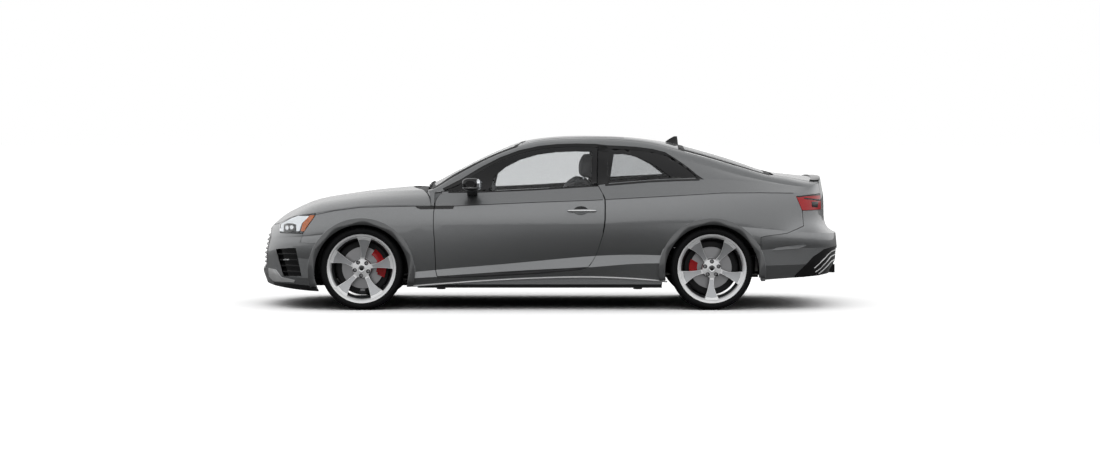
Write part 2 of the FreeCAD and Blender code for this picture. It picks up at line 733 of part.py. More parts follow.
def door_handle():
    """The pull handle, a rounded bar on two feet that stands off the door."""
    wires = []
    for x, depth, tall, off in [(140, 4, 4, 10), (152, 8, 8, 17), (200, 9, 11, 17), (260, 9, 12, 17), (330, 9, 11, 17),
                                (360, 8, 8, 17), (371, 4, 4, 10)]:
        middle_y = -(side_width_near(x, handle_z) + off)
        points = [V(x, middle_y + depth * math.cos(math.radians(a)), handle_z + tall * math.sin(math.radians(a)))
                  for a in range(0, 360, 45)]
        loop = Part.BSplineCurve()
        loop.interpolate(points, PeriodicFlag=True)
        wires.append(Part.Wire(loop.toShape()))
    feet = [block(x, x + handle_foot_length, -(side_width_near(x, handle_z) + 16), -(side_width_near(x, handle_z) - 8),
                  handle_z - 6, handle_z + 6) for x in (150, 336)]
    return largest(Part.makeLoft(wires, True).fuse(feet).cut(fixed["door_left"]))


def mirror_piece():
    """A door mirror: a rounded housing on a short foot."""
    wires = []
    for y, x0, x1, z0, z1 in [(-1013.5, -650, -590, 975, 1020), (-1004, -676, -560, 955, 1036), (-970, -688, -536, 944, 1044),
                              (-920, -690, -530, 940, 1042), (-880, -680, -540, 942, 1034), (-862, -655, -565, 955, 1018)]:
        cx, cz, a, b = (x0 + x1) / 2, (z0 + z1) / 2, (x1 - x0) / 2, (z1 - z0) / 2
        points = []
        for k in range(12):
            angle = math.radians(30 * k)
            c, s = math.cos(angle), math.sin(angle)
            points.append(V(cx + a * math.copysign(abs(c) ** 0.7, c), y, cz + b * math.copysign(abs(s) ** 0.7, s)))
        loop = Part.BSplineCurve()
        loop.interpolate(points, PeriodicFlag=True)
        wires.append(Part.Wire(loop.toShape()))
    housing = Part.makeLoft(wires, True)
    foot = front_prism(chain([(-900, 962), (-900, 946), (-830, 905), (-797, 905), (-797, 948), (-850, 968)]), -650, -570)
    shape = housing.fuse(foot)
    seat = moved(slab(side_strips[3:], V(0, 300, 0)), 0, -0.2, seat_clearance)
    return largest(shape.cut(seat))


def with_lip(shape, axle_x, region):
    """Add the arch's lip to a panel and open the arch."""
    lip = arch_lip(axle_x).common(region)
    opening = arch_cut(axle_x, arch_radius)
    return shape.cut(arch_cut(axle_x, arch_radius + 4)).fuse(lip).cut(opening)


def above_sill(x0, x1, raised):
    xs = [x0 + (x1 - x0) * k / 5 for k in range(6)]
    bottom = [(x, sill.height(x) + raised) for x in xs]
    return side_prism([bottom, [bottom[-1], (x1, 1100)], [(x1, 1100), (x0, 1100)]], -1100, -600)


def fender():
    front = [(-1843, 860), (-1843, 752), (-1948, 603), (-1972, 531), (-1700, 525), (-1700, 60)]
    region = side_prism(chain(front + [(hinge_x, 60), (hinge_x, 860)]), -1100, -600).common(above_sill(-2000, -700, 0.5))
    shape = slab(side_strips[1:4], V(0, fender_thickness, 0)).common(region)
    shape = with_lip(shape, front_axle_x, region)
    shape = shape.cut(hinge_core(panel_gap - 0.5))
    return largest(shape.cut(bonnet_room()))


belt_step = 0.8
fender_thickness = 16.0


def side_upper():
    """Pillars, roof rail and rear shoulder above the belt line, with the window openings."""
    upper = moved(slab([canopy_side, canopy_left], V(0, 46, -26)), 0, belt_step, -1.5 * belt_step)
    inner = [(-990, -716), (-930, -712), (-675, -662), (-450, -606), (-264, -566)]
    for x in (-117, 100, 350, 604, 850, 1031, 1200, 1400, 1600, 1752):
        inner.append((x, -screen_edge_width(x) + glass_seat + 4))
    edge = [inner, [inner[-1], (1790, -(lid_half_width + panel_gap))], [(1790, -(lid_half_width + panel_gap)), (2300, -(lid_half_width + panel_gap))],
            [(2300, -(lid_half_width + panel_gap)), (2300, -1100)], [(2300, -1100), (-990, -1100)]]
    upper = upper.common(plan_prism(edge, 600, 1500))
    upper = upper.cut(door_window(0)).cut(quarter_window(0))
    upper = upper.cut(door_region(-panel_gap, -990).common(block(300, 420, -1100, -600, 900, 992)))
    return upper.cut(block(hinge_x - 8, hinge_x + 18, -810, -740, 880, 938))


def rocker():
    xs = [-1005, -700, -400, -100, 200, 420]
    top = [(x, sill.height(x) + panel_gap + 5) for x in xs]
    outline = side_prism([top, [top[-1], (890, 390)], [(890, 390), (890, floor_top)], [(890, floor_top), (-1005, floor_top)]],
                         -876, -790)
    return outline.cut(slab(side_strips[:1], V(0, skirt_thickness + seat_clearance, 0)))


floor_top = 203.0
floor_bottom = 172.0
skirt_thickness = 14.0


def side_frame():
    rear_edge = [(1664, 576), (1698, 587), (1872, 609), (2007, 665), (1996, 784), (1945, 899), (2162, 916), (2400, 916),
                 (2400, 1100)]
    region = side_prism(chain([(-1030, 1100), (-1030, 60), (1664, 60)] + rear_edge), -1100, -(lid_half_width + panel_gap))
    lower = slab(side_strips[1:], V(0, side_depth, 0)).common(region)
    lower = with_lip(lower, rear_axle_x, region.common(above_sill(700, 1800, 0.5)))
    lower = lower.cut(slab(side_strips[1:4], V(0, fender_thickness + seat_clearance, 0)).common(
        block(-1100, -880, -1100, -600, 0, 1200)))
    lower = lower.cut(block(hinge_x - 92, hinge_x + 40, -1100, -(hinge_y - 62), 210, 826))
    ahead = block(hinge_x, 600, -1100, -600, 0, 1300).fuse(hinge_core(panel_gap))
    rebate = moved(slab(side_strips[1:], V(0, door_skin_thickness + panel_gap + 60, 0)), 0, -60, 0)
    rebate = rebate.common(door_region(-panel_gap, -990)).common(ahead)
    through = slab(side_strips[1:], V(0, 200, 0)).common(door_region(door_step - 8, hinge_x - 60))
    lower = lower.cut(rebate).cut(through)
    shape = lower.fuse(side_upper())
    shape = shape.cut(bonnet_room())
    for glass in (windscreen_region(glass_gap), rear_glass_region(glass_gap)):
        shape = shape.cut(glass_room(glass))
    shape = shape.cut(roof_room())
    corner_sweep = hinge_core(panel_gap).common(block(-1000, -700, -1000, -700, sill.height(door_front(270)), 300))
    shape = shape.fuse(rocker()).cut(corner_sweep)
    shape = shape.cut(block(-1200, 2400, -1100, 0, -10, floor_top))
    shape = largest(shape)
    for z in hinge_heights:
        shape = shape.fuse(hinge_bracket(z))
    return largest(shape)


roof_thickness = 30.0


def roof_sides(grow):
    xs = (-262, -117, 100, 350, 604, 850, 1036)
    left = [(x, -(screen_edge_width(x) - 2 + grow)) for x in xs]
    return left


def roof_region(grow):
    left = roof_sides(grow)
    right = [(x, -y) for x, y in left]
    seat = glass_seat + grow
    front_x, rear_x = -262 - seat, 1036 + seat
    front = [(front_x, left[0][1]), (screen_top_x - 15 - seat, -300), (screen_top_x - seat, 0),
             (screen_top_x - 15 - seat, 300), (front_x, right[0][1])]
    rear = [(rear_x, right[-1][1]), (rear_glass_top_x + seat, 0), (rear_x, left[-1][1])]
    return plan_prism([front, [front[-1], right[0]], right, [right[-1], rear[0]], rear, [rear[-1], left[-1]],
                       list(reversed(left)), [left[0], front[0]]], 800, 1450)


def roof_room():
    return moved(slab([canopy], V(0, 0, -roof_thickness - 30)), 0, 0, 20).common(roof_region(0.25))


def roof():
    shape = slab([canopy], V(0, 0, -roof_thickness)).common(roof_region(0))
    for region in (windscreen_region(glass_gap), rear_glass_region(glass_gap), roof_glass_region(glass_gap)):
        shape = shape.cut(glass_room(region))
    shape = shape.cut(roof_glass_region(-glass_seat))
    return largest(shape)


# Front end

lamp_outline = [[(-2150, 603), (-1951, 605)], [(-1951, 605), (-1847, 754)], [(-1847, 754), (-1847, 800)],
                [(-1847, 800), (-2166, 800)], [(-2166, 800), (-2163, 676)], [(-2163, 676), (-2150, 603)]]


def head_lamp():
    shape = slab(side_strips[3:4], V(70, 40, 0)).common(side_prism(lamp_outline, -1000, -300))
    foot = [(-2140, 599.3 + seat_clearance), (-1965, 600 + seat_clearance), (-1965, 608), (-2140, 608)]
    ledge_part = moved(slab(side_strips[3:4], V(50, 28, 0)), 12, 8, 0).common(side_prism(chain(foot), -1000, -300))
    return largest(shape.fuse(ledge_part).cut(bonnet_room()))


def grille_region(grow):
    g = grow
    half = [(0, 282 - g), (-330 - g / 2, 282 - g), (-405 - g, 330), (-475 - g, 560), (-360 - g / 2, 632 + g), (0, 632 + g)]
    points = half + [(-y, z) for y, z in reversed(half[1:-1])]
    return front_prism(chain(points), -2400, -2000)


def intake_region(grow):
    g = grow
    points = [(-2190 - g, 470 + g), (-2060, 486 + g), (-2010 + g, 486), (-1962 + g, 262 - g), (-2120 - g, 258 - g)]
    return side_prism(chain(points), -1000, -560 + g)


def front_skin(depth, strips):
    half = slab(strips, depth)
    half = half.common(block(-2400, -1500, -1000, 0, 0, 1200))
    return half.fuse(mirrored(half))


def front_bumper():
    split = [(-2500, 900), (-2169, 900), (-2166, 680), (-2153, 599), (-1951, 600), (-1976, 530), (-1704, 521), (-1704, 60)]
    region = side_prism(chain([(-2500, 60)] + split), -1100, 0)
    shape = slab(side_strips[0:4], V(40, 35, 0)).common(region)
    shape = with_lip(shape, front_axle_x, region.common(block(-2000, -1483, -1100, -800, 160, 1000)))
    shape = largest(shape.cut(intake_region(0)).cut(bonnet_room()))
    return largest(shape.fuse(mirrored(shape)).cut(grille_region(0)))


grille_bars = 9
grille_posts = 12


def grille():
    surround = front_skin(V(34, 10, 0), side_strips[1:4]).common(grille_region(-seat_clearance))
    opening = grille_region(-18)
    surround = surround.cut(opening)
    back = moved(front_skin(V(9, 3, 0), side_strips[1:4]), 24, 0, 0).common(grille_region(-seat_clearance))
    bars = []
    for k in range(grille_bars):
        z = 310 + k * 36
        bars.append(block(-2400, -2000, -500, 500, z, z + 8))
    layer = moved(front_skin(V(14, 4, 0), side_strips[1:4]), 11, 0, 0).common(grille_region(-10))
    mesh = layer.common(bars[0].fuse(bars[1:]))
    centre_piece = largest(surround.fuse(back).fuse(mesh).cut(bonnet_room()))
    side = moved(slab(side_strips[0:3], V(14, 12, 0)), 22, 16, 0).common(intake_region(-seat_clearance))
    side = largest(side)
    slats = []
    for k in range(4):
        z = 290 + k * 46
        slats.append(block(-2300, -1900, -1000, -500, z, z + 10))
    slat = moved(slab(side_strips[0:3], V(24, 18, 0)), 4, 3, 0).common(intake_region(-seat_clearance)).common(
        slats[0].fuse(slats[1:]))
    side = largest(side.fuse(slat))
    return Part.Compound([centre_piece] + solids(both_sides(side)))


# Rear end

def tail_lamp():
    outline = [(1949, 897), (1999, 787), (2400, 787), (2400, 912), (2162, 912)]
    shape = slab(side_strips[3:], V(-60, 50, 0)).common(side_prism(chain(outline), -1000, -(lid_half_width + panel_gap)))
    return largest(shape)


def diffuser_region(grow):
    g = grow
    half = [(0, 470 + g), (-560, 470 + g), (-690 - g, 430 + g), (-720 - g, 330), (-640 - g, 200), (0, 200)]
    points = half + [(-y, z) for y, z in reversed(half[1:-1])]
    return front_prism(chain(points), 1700, 2400)


def rear_skin(depth, strips):
    half = slab(strips, depth)
    half = half.common(block(1500, 2400, -1000, 0.5, 0, 1200))
    return half.fuse(mirrored(half))


def rear_bumper():
    split = [(1668, 60), (1668, 572), (1698, 583), (1872, 605), (2011, 661), (2001, 783), (2400, 783), (2400, 60)]
    region = side_prism(chain(split), -1100, 0.5)
    shape = slab(side_strips[0:4], V(-40, 35, 0)).common(region)
    shape = with_lip(shape, rear_axle_x, region.common(block(1500, 1760, -1100, -800, 230, 1000)))
    shape = shape.cut(block(1500, 2500, -(lid_half_width + panel_gap), 100, lid_bottom_z - panel_gap, 1000))
    shape = largest(shape)
    return largest(shape.fuse(mirrored(shape)).cut(diffuser_region(0)))


finisher_y = 560.0


def diffuser():
    shape = moved(rear_skin(V(-30, 24, 0), side_strips[0:3]), -6, 0, 0).common(diffuser_region(-seat_clearance))
    shape = largest(shape)
    for k in range(-3, 4):
        fin = block(2180, 2322, k * 90 - 4, k * 90 + 4, 262, 330)
        shape = shape.fuse(fin)
    return largest(shape)


def skirt():
    shape = slab(side_strips[:1], V(0, skirt_thickness, 0)).common(block(-1300, 1000, -1000, -700, 0, 1000))
    for axle in (front_axle_x, rear_axle_x):
        shape = shape.cut(arch_cut(axle, arch_radius))
    return largest(shape.cut(slab(side_strips[1:2], V(0, 60, 0))))


# Wheels, built about the wheel's own centre with the outer side towards -Y

rim_radius = 272.0
rim_edge = tyre_width / 2 - 6
bead_radius = 254.0
spoke_count = 5
web_radius = bead_radius - 4     # where the spokes end inside the barrel wall
bolt_circle = 56.0
tyre_clearance = 0.3
hub_face_y = -30.0             # mounting face of the rim, outboard of the wheel's middle
disc_radius = 165.0
disc_hat = 12.0                # thickness of the disc's hat where it is clamped to the rim
carrier_face_y = 62.0          # seat of a caliper on the upright, inboard of the wheel's middle


def turned(profile):
    """A solid of revolution about the wheel's axle from (radius, y) points."""
    return outline_face(chain(profile), lambda r, y: V(r, y, 0)).revolve(V(0, 0, 0), Y_AXIS, 360)


def tyre():
    """The tyre's section: flat tread, round shoulders, bulged walls and a bead behind each rim flange."""
    half = tyre_width / 2
    seat = bead_radius + tyre_clearance
    inner = rim_edge - 10 - tyre_clearance
    walls = [(seat, inner), (rim_radius + tyre_clearance, inner + 4), (rim_radius + 20, half), (tyre_radius - 12, half - 8),
             (tyre_radius, half - 30)]
    profile = [(r, -y) for r, y in walls] + list(reversed(walls))
    return turned(profile)


def rim_barrel():
    edge = rim_edge
    outer = [(rim_radius, -edge), (rim_radius, -edge + 6), (bead_radius, -edge + 10), (bead_radius, -edge + 38),
             (236, -edge + 56), (236, 40), (bead_radius, 70), (bead_radius, edge - 10), (rim_radius - 4, edge - 6),
             (rim_radius - 4, edge)]
    inner = [(bead_radius - 8, edge), (bead_radius - 8, 66), (228, 34), (228, -edge + 60), (244, -edge + 40),
             (246, -edge + 12), (258, -edge + 2)]
    return turned(outer + inner)


def spoke_face(r):
    """How far out the face of a spoke lies at a radius: dished towards the hub."""
    return -(86 + 34 * (r / rim_radius) ** 1.6)


def spoke_envelope():
    radii = [30, 80, 130, 180, 220, web_radius]
    front = [(r, spoke_face(r)) for r in radii]
    back = [(web_radius, spoke_face(web_radius) + 30), (220, -66), (180, -56), (130, -48), (80, -40), (30, hub_face_y)]
    runs = [front, [front[-1], back[0]], back, [back[-1], front[0]]]
    return outline_face(runs, lambda r, y: V(r, y, 0)).revolve(V(0, 0, 0), Y_AXIS, 360)


def blade(turn):
    """One tapered blade: its leading edge is nearly straight, its trailing edge hollow."""
    def at(r, degrees):
        a = math.radians(degrees + turn)
        return (r * math.sin(a), r * math.cos(a))
    leading = [at(40, 24), at(90, 11), at(140, 10.5), at(200, 12), at(258, 13.5)]
    trailing = [at(258, -13.5), at(225, -11.5), at(170, -8), at(120, -7), at(80, -13), at(40, -30)]
    tip = [leading[-1], at(262, 0), trailing[0]]
    return side_prism([leading, tip, trailing, [trailing[-1], leading[0]]], -130, 20)


def rim(turn):
    spokes = [blade(turn + 360 / spoke_count * k) for k in range(spoke_count)]
    star = spokes[0].fuse(spokes[1:])
    hub = turned([(26, -100), (72, -96), (78, -60), (76, hub_face_y), (26, hub_face_y)])
    web = star.common(spoke_envelope())
    shape = rim_barrel().fuse(web).fuse(hub)
    for k in range(spoke_count):
        a = math.radians(turn + 360 / spoke_count * (k + 0.5))
        x, z = bolt_circle * math.sin(a), bolt_circle * math.cos(a)
        shape = shape.cut(rod(13, V(x, -130, z), V(x, hub_face_y - 18, z)))
    cap = turned([(0, -104), (24, -104), (28, -98), (28, -60), (0, -60)])
    return largest(shape.fuse(cap))


def disc():
    """Brake disc with its hat, which seats on the rim's mounting face."""
    hat = [(0, hub_face_y + seat_clearance), (74, hub_face_y + seat_clearance), (78, hub_face_y + 20), (78, 22),
           (disc_radius, 22), (disc_radius, 32), (82, 32), (82, 40), (disc_radius, 40), (disc_radius, 50), (70, 50),
           (70, hub_face_y + disc_hat), (0, hub_face_y + disc_hat)]
    return turned(hat)


def caliper(back, reach):
    """A brake caliper that straddles the disc, on the side given by back: +1 behind, -1 ahead."""
    inner_r, outer_r = 112.0, disc_radius + reach
    span = 24
    arc = []
    for a in range(-span, span + 1, 8):
        arc.append((outer_r * math.cos(math.radians(a)), outer_r * math.sin(math.radians(a))))
    back_arc = []
    for a in range(span - 3, -span, -9):
        back_arc.append((inner_r * math.cos(math.radians(a)), inner_r * math.sin(math.radians(a))))
    runs = [arc, [arc[-1], back_arc[0]], back_arc, [back_arc[-1], arc[0]]]
    body_part = outline_face(runs, lambda x, z: V(x * back, -6, z)).extrude(V(0, 6 + carrier_face_y - seat_clearance, 0))
    gap = turned([(0, 18), (disc_radius + 6, 18), (disc_radius + 6, 54), (0, 54)])
    return largest(body_part.cut(gap))


wheel_places = {
    "front_left": (front_axle_x, -1, 5.0), "front_right": (front_axle_x, 1, 5.0),
    "rear_left": (rear_axle_x, -1, 180.0), "rear_right": (rear_axle_x, 1, 180.0)}


def placed(shape, where):
    """Put a wheel piece on its axle. The right-hand wheels are the same piece, turned round."""
    x, side, turn = wheel_places[where]
    copy = shape.copy()
    if side > 0:
        copy.rotate(V(0, 0, 0), Z_AXIS, 180)
    copy.translate(V(x, side * wheel_plane_y, axle_z))
    return copy


# Steering knuckles

kingpin_inset = 15.0
kingpin_y = wheel_plane_y - kingpin_inset
joint_reach = disc_radius + 17  # upper and lower ball joints above and below the axle, clear of the disc
ball_radius = 12.0
tongue_thickness = 14.0
hub_radius = 62.0
carrier_depth = 34.0
arm_height = 24.0
beam_half = 400.0
beam_top = 213.0


def inboard(distance):
    """The left side's Y at a distance inboard of the wheel's middle."""
    return distance - wheel_plane_y


def hub(x):
    """The stub that carries the disc's hat and the wheel."""
    return rod(hub_radius, V(x, inboard(hub_face_y + disc_hat + seat_clearance), axle_z), V(x, inboard(carrier_face_y + 10), axle_z))


def knuckle():
    """Left front upright, in place: it turns about its upper and lower ball joints."""
    x, z = front_axle_x, axle_z
    y = -kingpin_y
    face, back = inboard(carrier_face_y), inboard(carrier_face_y + carrier_depth)
    tip = joint_reach - tongue_thickness
    column = block(x - 26, x + 26, face, back, z - joint_reach, z + joint_reach)
    shapes = [column]
    for end in (-1, 1):
        z0, z1 = z + end * tip, z + end * joint_reach
        shapes.append(block(x - 18, x + 18, y - 16, back, min(z0, z1), max(z0, z1)))
        shapes.append(rod(ball_radius, V(x, y, z1), V(x, y, z1 + end * (arm_height - 2))))
    shapes.append(block(x + 20, x + 150, face + 16, back, z - 60, z - 34))
    shapes.append(block(x + 88, x + 138, face, back, z - 40, z + 40))
    shapes.append(block(x + 20, x + 100, face + 16, back, z - 40, z + 40))
    return hub(x).fuse(shapes)


def front_caliper():
    """Left front caliper, behind the axle, seated on the knuckle's ear."""
    return moved(caliper(1, 22), front_axle_x, -wheel_plane_y, axle_z)


def front_subframe():
    x, z = front_axle_x, axle_z
    upper_z = z + joint_reach + seat_clearance
    lower_z = z - joint_reach - seat_clearance
    y_out = kingpin_y + 24
    shapes = []
    for side in (-1, 1):
        def arm(points, half):
            return front_prism(chain([(side * y, height) for y, height in points]), x - half, x + half)
        shapes.append(arm([(y_out, upper_z), (y_out, upper_z + arm_height), (370, upper_z + arm_height), (370, upper_z)], 20))
        shapes.append(arm([(y_out, lower_z - arm_height), (y_out, lower_z), (kingpin_y - 100, lower_z), (370, 206), (370, 180),
                           (kingpin_y - 100, lower_z - arm_height)], 28))
        shapes.append(arm([(beam_half, 190), (beam_half, 610), (350, 610), (350, 190)], 70))
        shapes.append(rod(38, V(x, side * 440, upper_z + 10), V(x, side * 420, 640)))
        rail = sorted((side * 350, side * beam_half))
        shapes.append(block(-2200, wall_front - seat_clearance, rail[0], rail[1], 420, 500))
        shapes.append(block(-2200, -2160, rail[0], rail[1], 250, 620))
    shapes.append(block(-2230, -2190, -660, 660, 420, 500))
    shape = block(x - 190, x + 150, -beam_half, beam_half, 178, beam_top).fuse(shapes)
    hole = ball_radius + seat_clearance
    for side in (-1, 1):
        shape = shape.cut(rod(hole, V(x, side * kingpin_y, upper_z - 1), V(x, side * kingpin_y, upper_z + arm_height - 1)))
        shape = shape.cut(rod(hole, V(x, side * kingpin_y, lower_z + 1), V(x, side * kingpin_y, lower_z - arm_height + 1)))
    return largest(shape.cut(fixed["front_bumper"]).cut(fixed["grille"]))


def rear_axle():
    """Rear subframe with its arms and the fixed rear uprights."""
    x, z = rear_axle_x, axle_z
    shapes = []
    face, back = carrier_face_y, carrier_face_y + carrier_depth
    for side in (-1, 1):
        def bar(x0, x1, y0, y1, z0, z1):
            ys = sorted((side * y0, side * y1))
            return block(x + x0, x + x1, ys[0], ys[1], z0, z1)
        upright_out, upright_in = wheel_plane_y - face, wheel_plane_y - back
        for x0, z0, tall in ((-168, 262, 28), (92, 262, 28), (-18, 372, 24)):
            shapes.append(bar(x0, x0 + 36, 370, upright_in + 4, z0, z0 + tall))
        shapes.append(bar(-40, 40, 340, 376, 290, 398))
        shapes.append(bar(-172, 132, upright_out, upright_in, z - 66, z - 30))
        shapes.append(bar(-34, 34, upright_out, upright_in, z - 60, z + 136))
        shapes.append(bar(-138, -30, upright_out, upright_in, z - 40, z + 40))
        stub = hub(x)
        shapes.append(stub if side < 0 else mirrored(stub))
    return largest(block(x - 200, x + 150, -380, 380, 262, 300).fuse(shapes))


def rear_calipers():
    return both_sides(moved(caliper(-1, 10), rear_axle_x, -wheel_plane_y, axle_z))


# Floor, bulkheads and liners

tunnel_half = 120.0
liner_radius = 388.0
front_liner_y = 465.0
rear_liner_y = 580.0
boot_floor_z = 402.0
tunnel_top = 332.0


lift_pad_radius = 35.0
lift_pad_height = 12.0
lift_pad_y = 780.0
lift_pad_places = (-860.0, 700.0)


def floor_pan():
    plate = block(wall_front, 890, -820, 820, floor_bottom, floor_top)
    slot = block(wall_front - 1, 891, -tunnel_half + 12, tunnel_half - 12, floor_bottom - 1, 320)
    tunnel = block(wall_front, 890, -tunnel_half, tunnel_half, floor_bottom, tunnel_top)
    boot_half = rear_liner_y - 12
    riser = block(878, 890, -boot_half, boot_half, floor_bottom, boot_floor_z + 18)
    boot = block(878, 2120, -boot_half, boot_half, boot_floor_z, boot_floor_z + 18)
    boot_wide = block(1690, 2120, -690, 690, boot_floor_z, boot_floor_z + 18)
    back = block(2102, 2120, -585, 585, boot_floor_z, 690)
    tray = block(-2150, wall_rear, -395, 395, floor_bottom - 8, floor_bottom)
    tray_lip = block(wall_front, wall_rear, -395, 395, floor_bottom - 8, floor_bottom + 8)
    pads = [rod(lift_pad_radius, V(x, y, floor_bottom - lift_pad_height), V(x, y, floor_bottom + 1))
            for x in lift_pad_places for y in (-lift_pad_y, lift_pad_y)]
    shape = plate.fuse([tunnel, riser, boot, boot_wide, back, tray, tray_lip] + pads)
    return largest(shape.cut(slot))


wall_front = -1045.0
wall_rear = -1030.0
plenum_z = 850.0


def cowl_edge(forward):
    """Rear boundary of the cowl in plan, ahead of the windscreen, moved forward by a distance."""
    half = [(-929, 790), (-934, 705), (-972, 420), (-988, 200)]
    left = [(x - forward, -y) for x, y in half]
    return left + [(-990 - forward, 0)] + [(x, -y) for x, y in reversed(left)]


def firewall():
    wall = block(wall_front, wall_rear, -765, 765, floor_top, plenum_z + 12)
    shelf = plan_prism([cowl_edge(0), [(-929, 790), (wall_front, 790)], [(wall_front, 790), (wall_front, -790)]],
                       plenum_z, plenum_z + 12)
    area = plan_prism([cowl_edge(0), [(-929, 790), (-1300, 790)], [(-1300, 790), (-1300, -790)]], 700, 1100)
    cowl = moved(slab([bonnet_skin], V(0, 0, -16)), 0, 0, -12).common(area).cut(bonnet_room())
    rear, front = cowl_edge(0), list(reversed(cowl_edge(12)))
    strip = plan_prism([rear, [rear[-1], front[0]], front, [front[-1], rear[0]]], plenum_z, 1100)
    web = moved(slab([bonnet_skin], V(0, 0, -160)), 0, 0, -12).common(strip)
    passage = tunnel_half + seat_clearance
    wall = wall.cut(block(wall_front - 1, wall_rear + 1, -passage, passage, 0, tunnel_top + seat_clearance))
    shape = wall.fuse([shelf, web]).cut(bonnet_room()).fuse(cowl)
    x, z = bonnet_hinge.x, bonnet_hinge.z
    for side in (-1, 1):
        y = side * bonnet_arm_y
        notch = block(-1200, x + 16, y - 12, y + 12, plenum_z + 12, 1000)
        cheeks = [block(x - 12, x + 10, y0, y0 + 8, plenum_z, z + 8) for y0 in (y - 20, y + 12)]
        pin = rod(pin_radius, V(x, y - 14, z), V(x, y + 14, z))
        shape = shape.cut(notch).fuse(cheeks + [pin])
    return largest(shape.cut(side_shapes["left"]).cut(side_shapes["right"]))


post_neck = post_radius - 2     # half-width of a hinge post below its eye


def parcel_shelf():
    """Shelf behind the rear seat, with the rear window's lower flange and the lid's hinge posts."""
    shelf = block(1100, 1770, -840, 840, 948, 962)
    under = glass_thickness + seat_clearance
    flange = moved(slab([canopy], V(0, 0, -24)), 0, 0, -under).common(block(1742, 1774, -600, 600, 900, 1200))
    web = moved(slab([canopy], V(0, 0, -200)), 0, 0, -under).common(block(1742, 1752, -600, 600, 950, 1200))
    shapes = [flange, web]
    x, z = lid_hinge.x, lid_hinge.z
    for y in (-466, 450):
        shapes.append(block(1740, x, y, y + 16, 948, 962))
        shapes.append(block(x - post_neck, x + post_neck, y, y + 16, 948, z))
        shapes.append(rod(post_radius, V(x, y, z), V(x, y + 16, z)))
    for y0, y1 in ((-452, -440), (440, 452)):
        shapes.append(rod(pin_radius, V(x, y0, z), V(x, y1, z)))
    return largest(shelf.fuse(shapes).cut(side_shapes["left"]).cut(side_shapes["right"]))


def liner(axle_x, inner_y):
    """A wheel-arch liner: a half drum with an open inner wall."""
    ring = [(liner_radius, -878), (liner_radius, -inner_y), (200, -inner_y), (200, -inner_y + 5),
            (liner_radius + 5, -inner_y + 5), (liner_radius + 5, -878)]
    shape = outline_face(chain(ring), lambda r, y: V(axle_x + r, y, arch_z)).revolve(V(axle_x, 0, arch_z), Y_AXIS, 360)
    shape = shape.common(block(axle_x - 500, axle_x + 500, -900, 0, arch_z - 40, 1200))
    return shape


def wheel_liners():
    front = liner(front_axle_x, front_liner_y)
    rear = liner(rear_axle_x, rear_liner_y)
    rear = rear.cut(block(800, 1800, -rear_liner_y, 0, 0, 480))
    shapes = []
    for shape in (front, rear):
        for other in (side_shapes["left"], skirt(), fixed["fender_left"], fixed["front_bumper"], fixed["rear_bumper"],
                      fixed["floor_pan"], fixed["front_subframe"], fixed["rear_axle"], fixed["firewall"]):
            shape = shape.cut(other)
        shapes.append(largest(shape))
    return Part.Compound(shapes + [s for shape in shapes for s in solids(mirrored(shape))])


def engine():
    """The closed engine and gearbox as one plain block."""
    block_part = block(-1960, -1340, -240, 240, 262, 742)
    sump = block(-1660, -1360, -180, 180, beam_top + seat_clearance, 262)
    box = block(-1340, -1052, -150, 150, 230, 470)
    return block_part.fuse([sump, box])


def exhaust():
    pipe = rod(25, V(-1020, 0, 232), V(1720, 0, 232))
    silencer = block(1716, 2060, -430, 430, 232, 372)
    shapes = [silencer]
    for y in (-300, 300):
        shapes.append(block(1850, 1870, y - 10, y + 10, 360, boot_floor_z - seat_clearance))
    return pipe.fuse(shapes)


# Cabin

seat_y = 370.0


def front_seat():
    """The left front seat with its head restraint."""
    def lofted(sections, power):
        wires = []
        for x, y, z, tilt, a, b in sections:
            points = []
            for k in range(16):
                angle = math.radians(22.5 * k)
                c, s = math.cos(angle), math.sin(angle)
                u = a * math.copysign(abs(c) ** power, c)
                w = b * math.copysign(abs(s) ** power, s)
                points.append(V(x + w * math.cos(math.radians(tilt)), y + u, z + w * math.sin(math.radians(tilt))))
            loop = Part.BSplineCurve()
            loop.interpolate(points, PeriodicFlag=True)
            wires.append(Part.Wire(loop.toShape()))
        return Part.makeLoft(wires, True)
    cushion = lofted([(-330, 0, 455, 80, 200, 40), (-290, 0, 462, 85, 235, 62), (-100, 0, 452, 90, 252, 78),
                      (80, 0, 440, 95, 255, 84), (150, 0, 442, 100, 235, 70)], 0.55)
    back = lofted([(120, 0, 420, 0, 210, 60), (140, 0, 520, -8, 248, 76), (180, 0, 700, -10, 262, 72),
                   (235, 0, 900, -12, 240, 58), (275, 0, 1030, -14, 190, 46), (290, 0, 1075, -14, 150, 30)], 0.55)
    head = lofted([(302, 0, 1108, -14, 96, 26), (306, 0, 1130, -12, 122, 42), (316, 0, 1180, -10, 124, 46),
                   (322, 0, 1218, -8, 108, 34), (324, 0, 1232, -6, 84, 18)], 0.6)
    posts = [rod(7, V(284, y, 1050), V(306, y, 1130)) for y in (-52, 52)]
    base = block(-240, 120, -180, 180, floor_top, 400)
    shape = cushion.fuse([back, base]).fuse(posts).fuse(head)
    return moved(largest(shape), 0, -seat_y, 0)


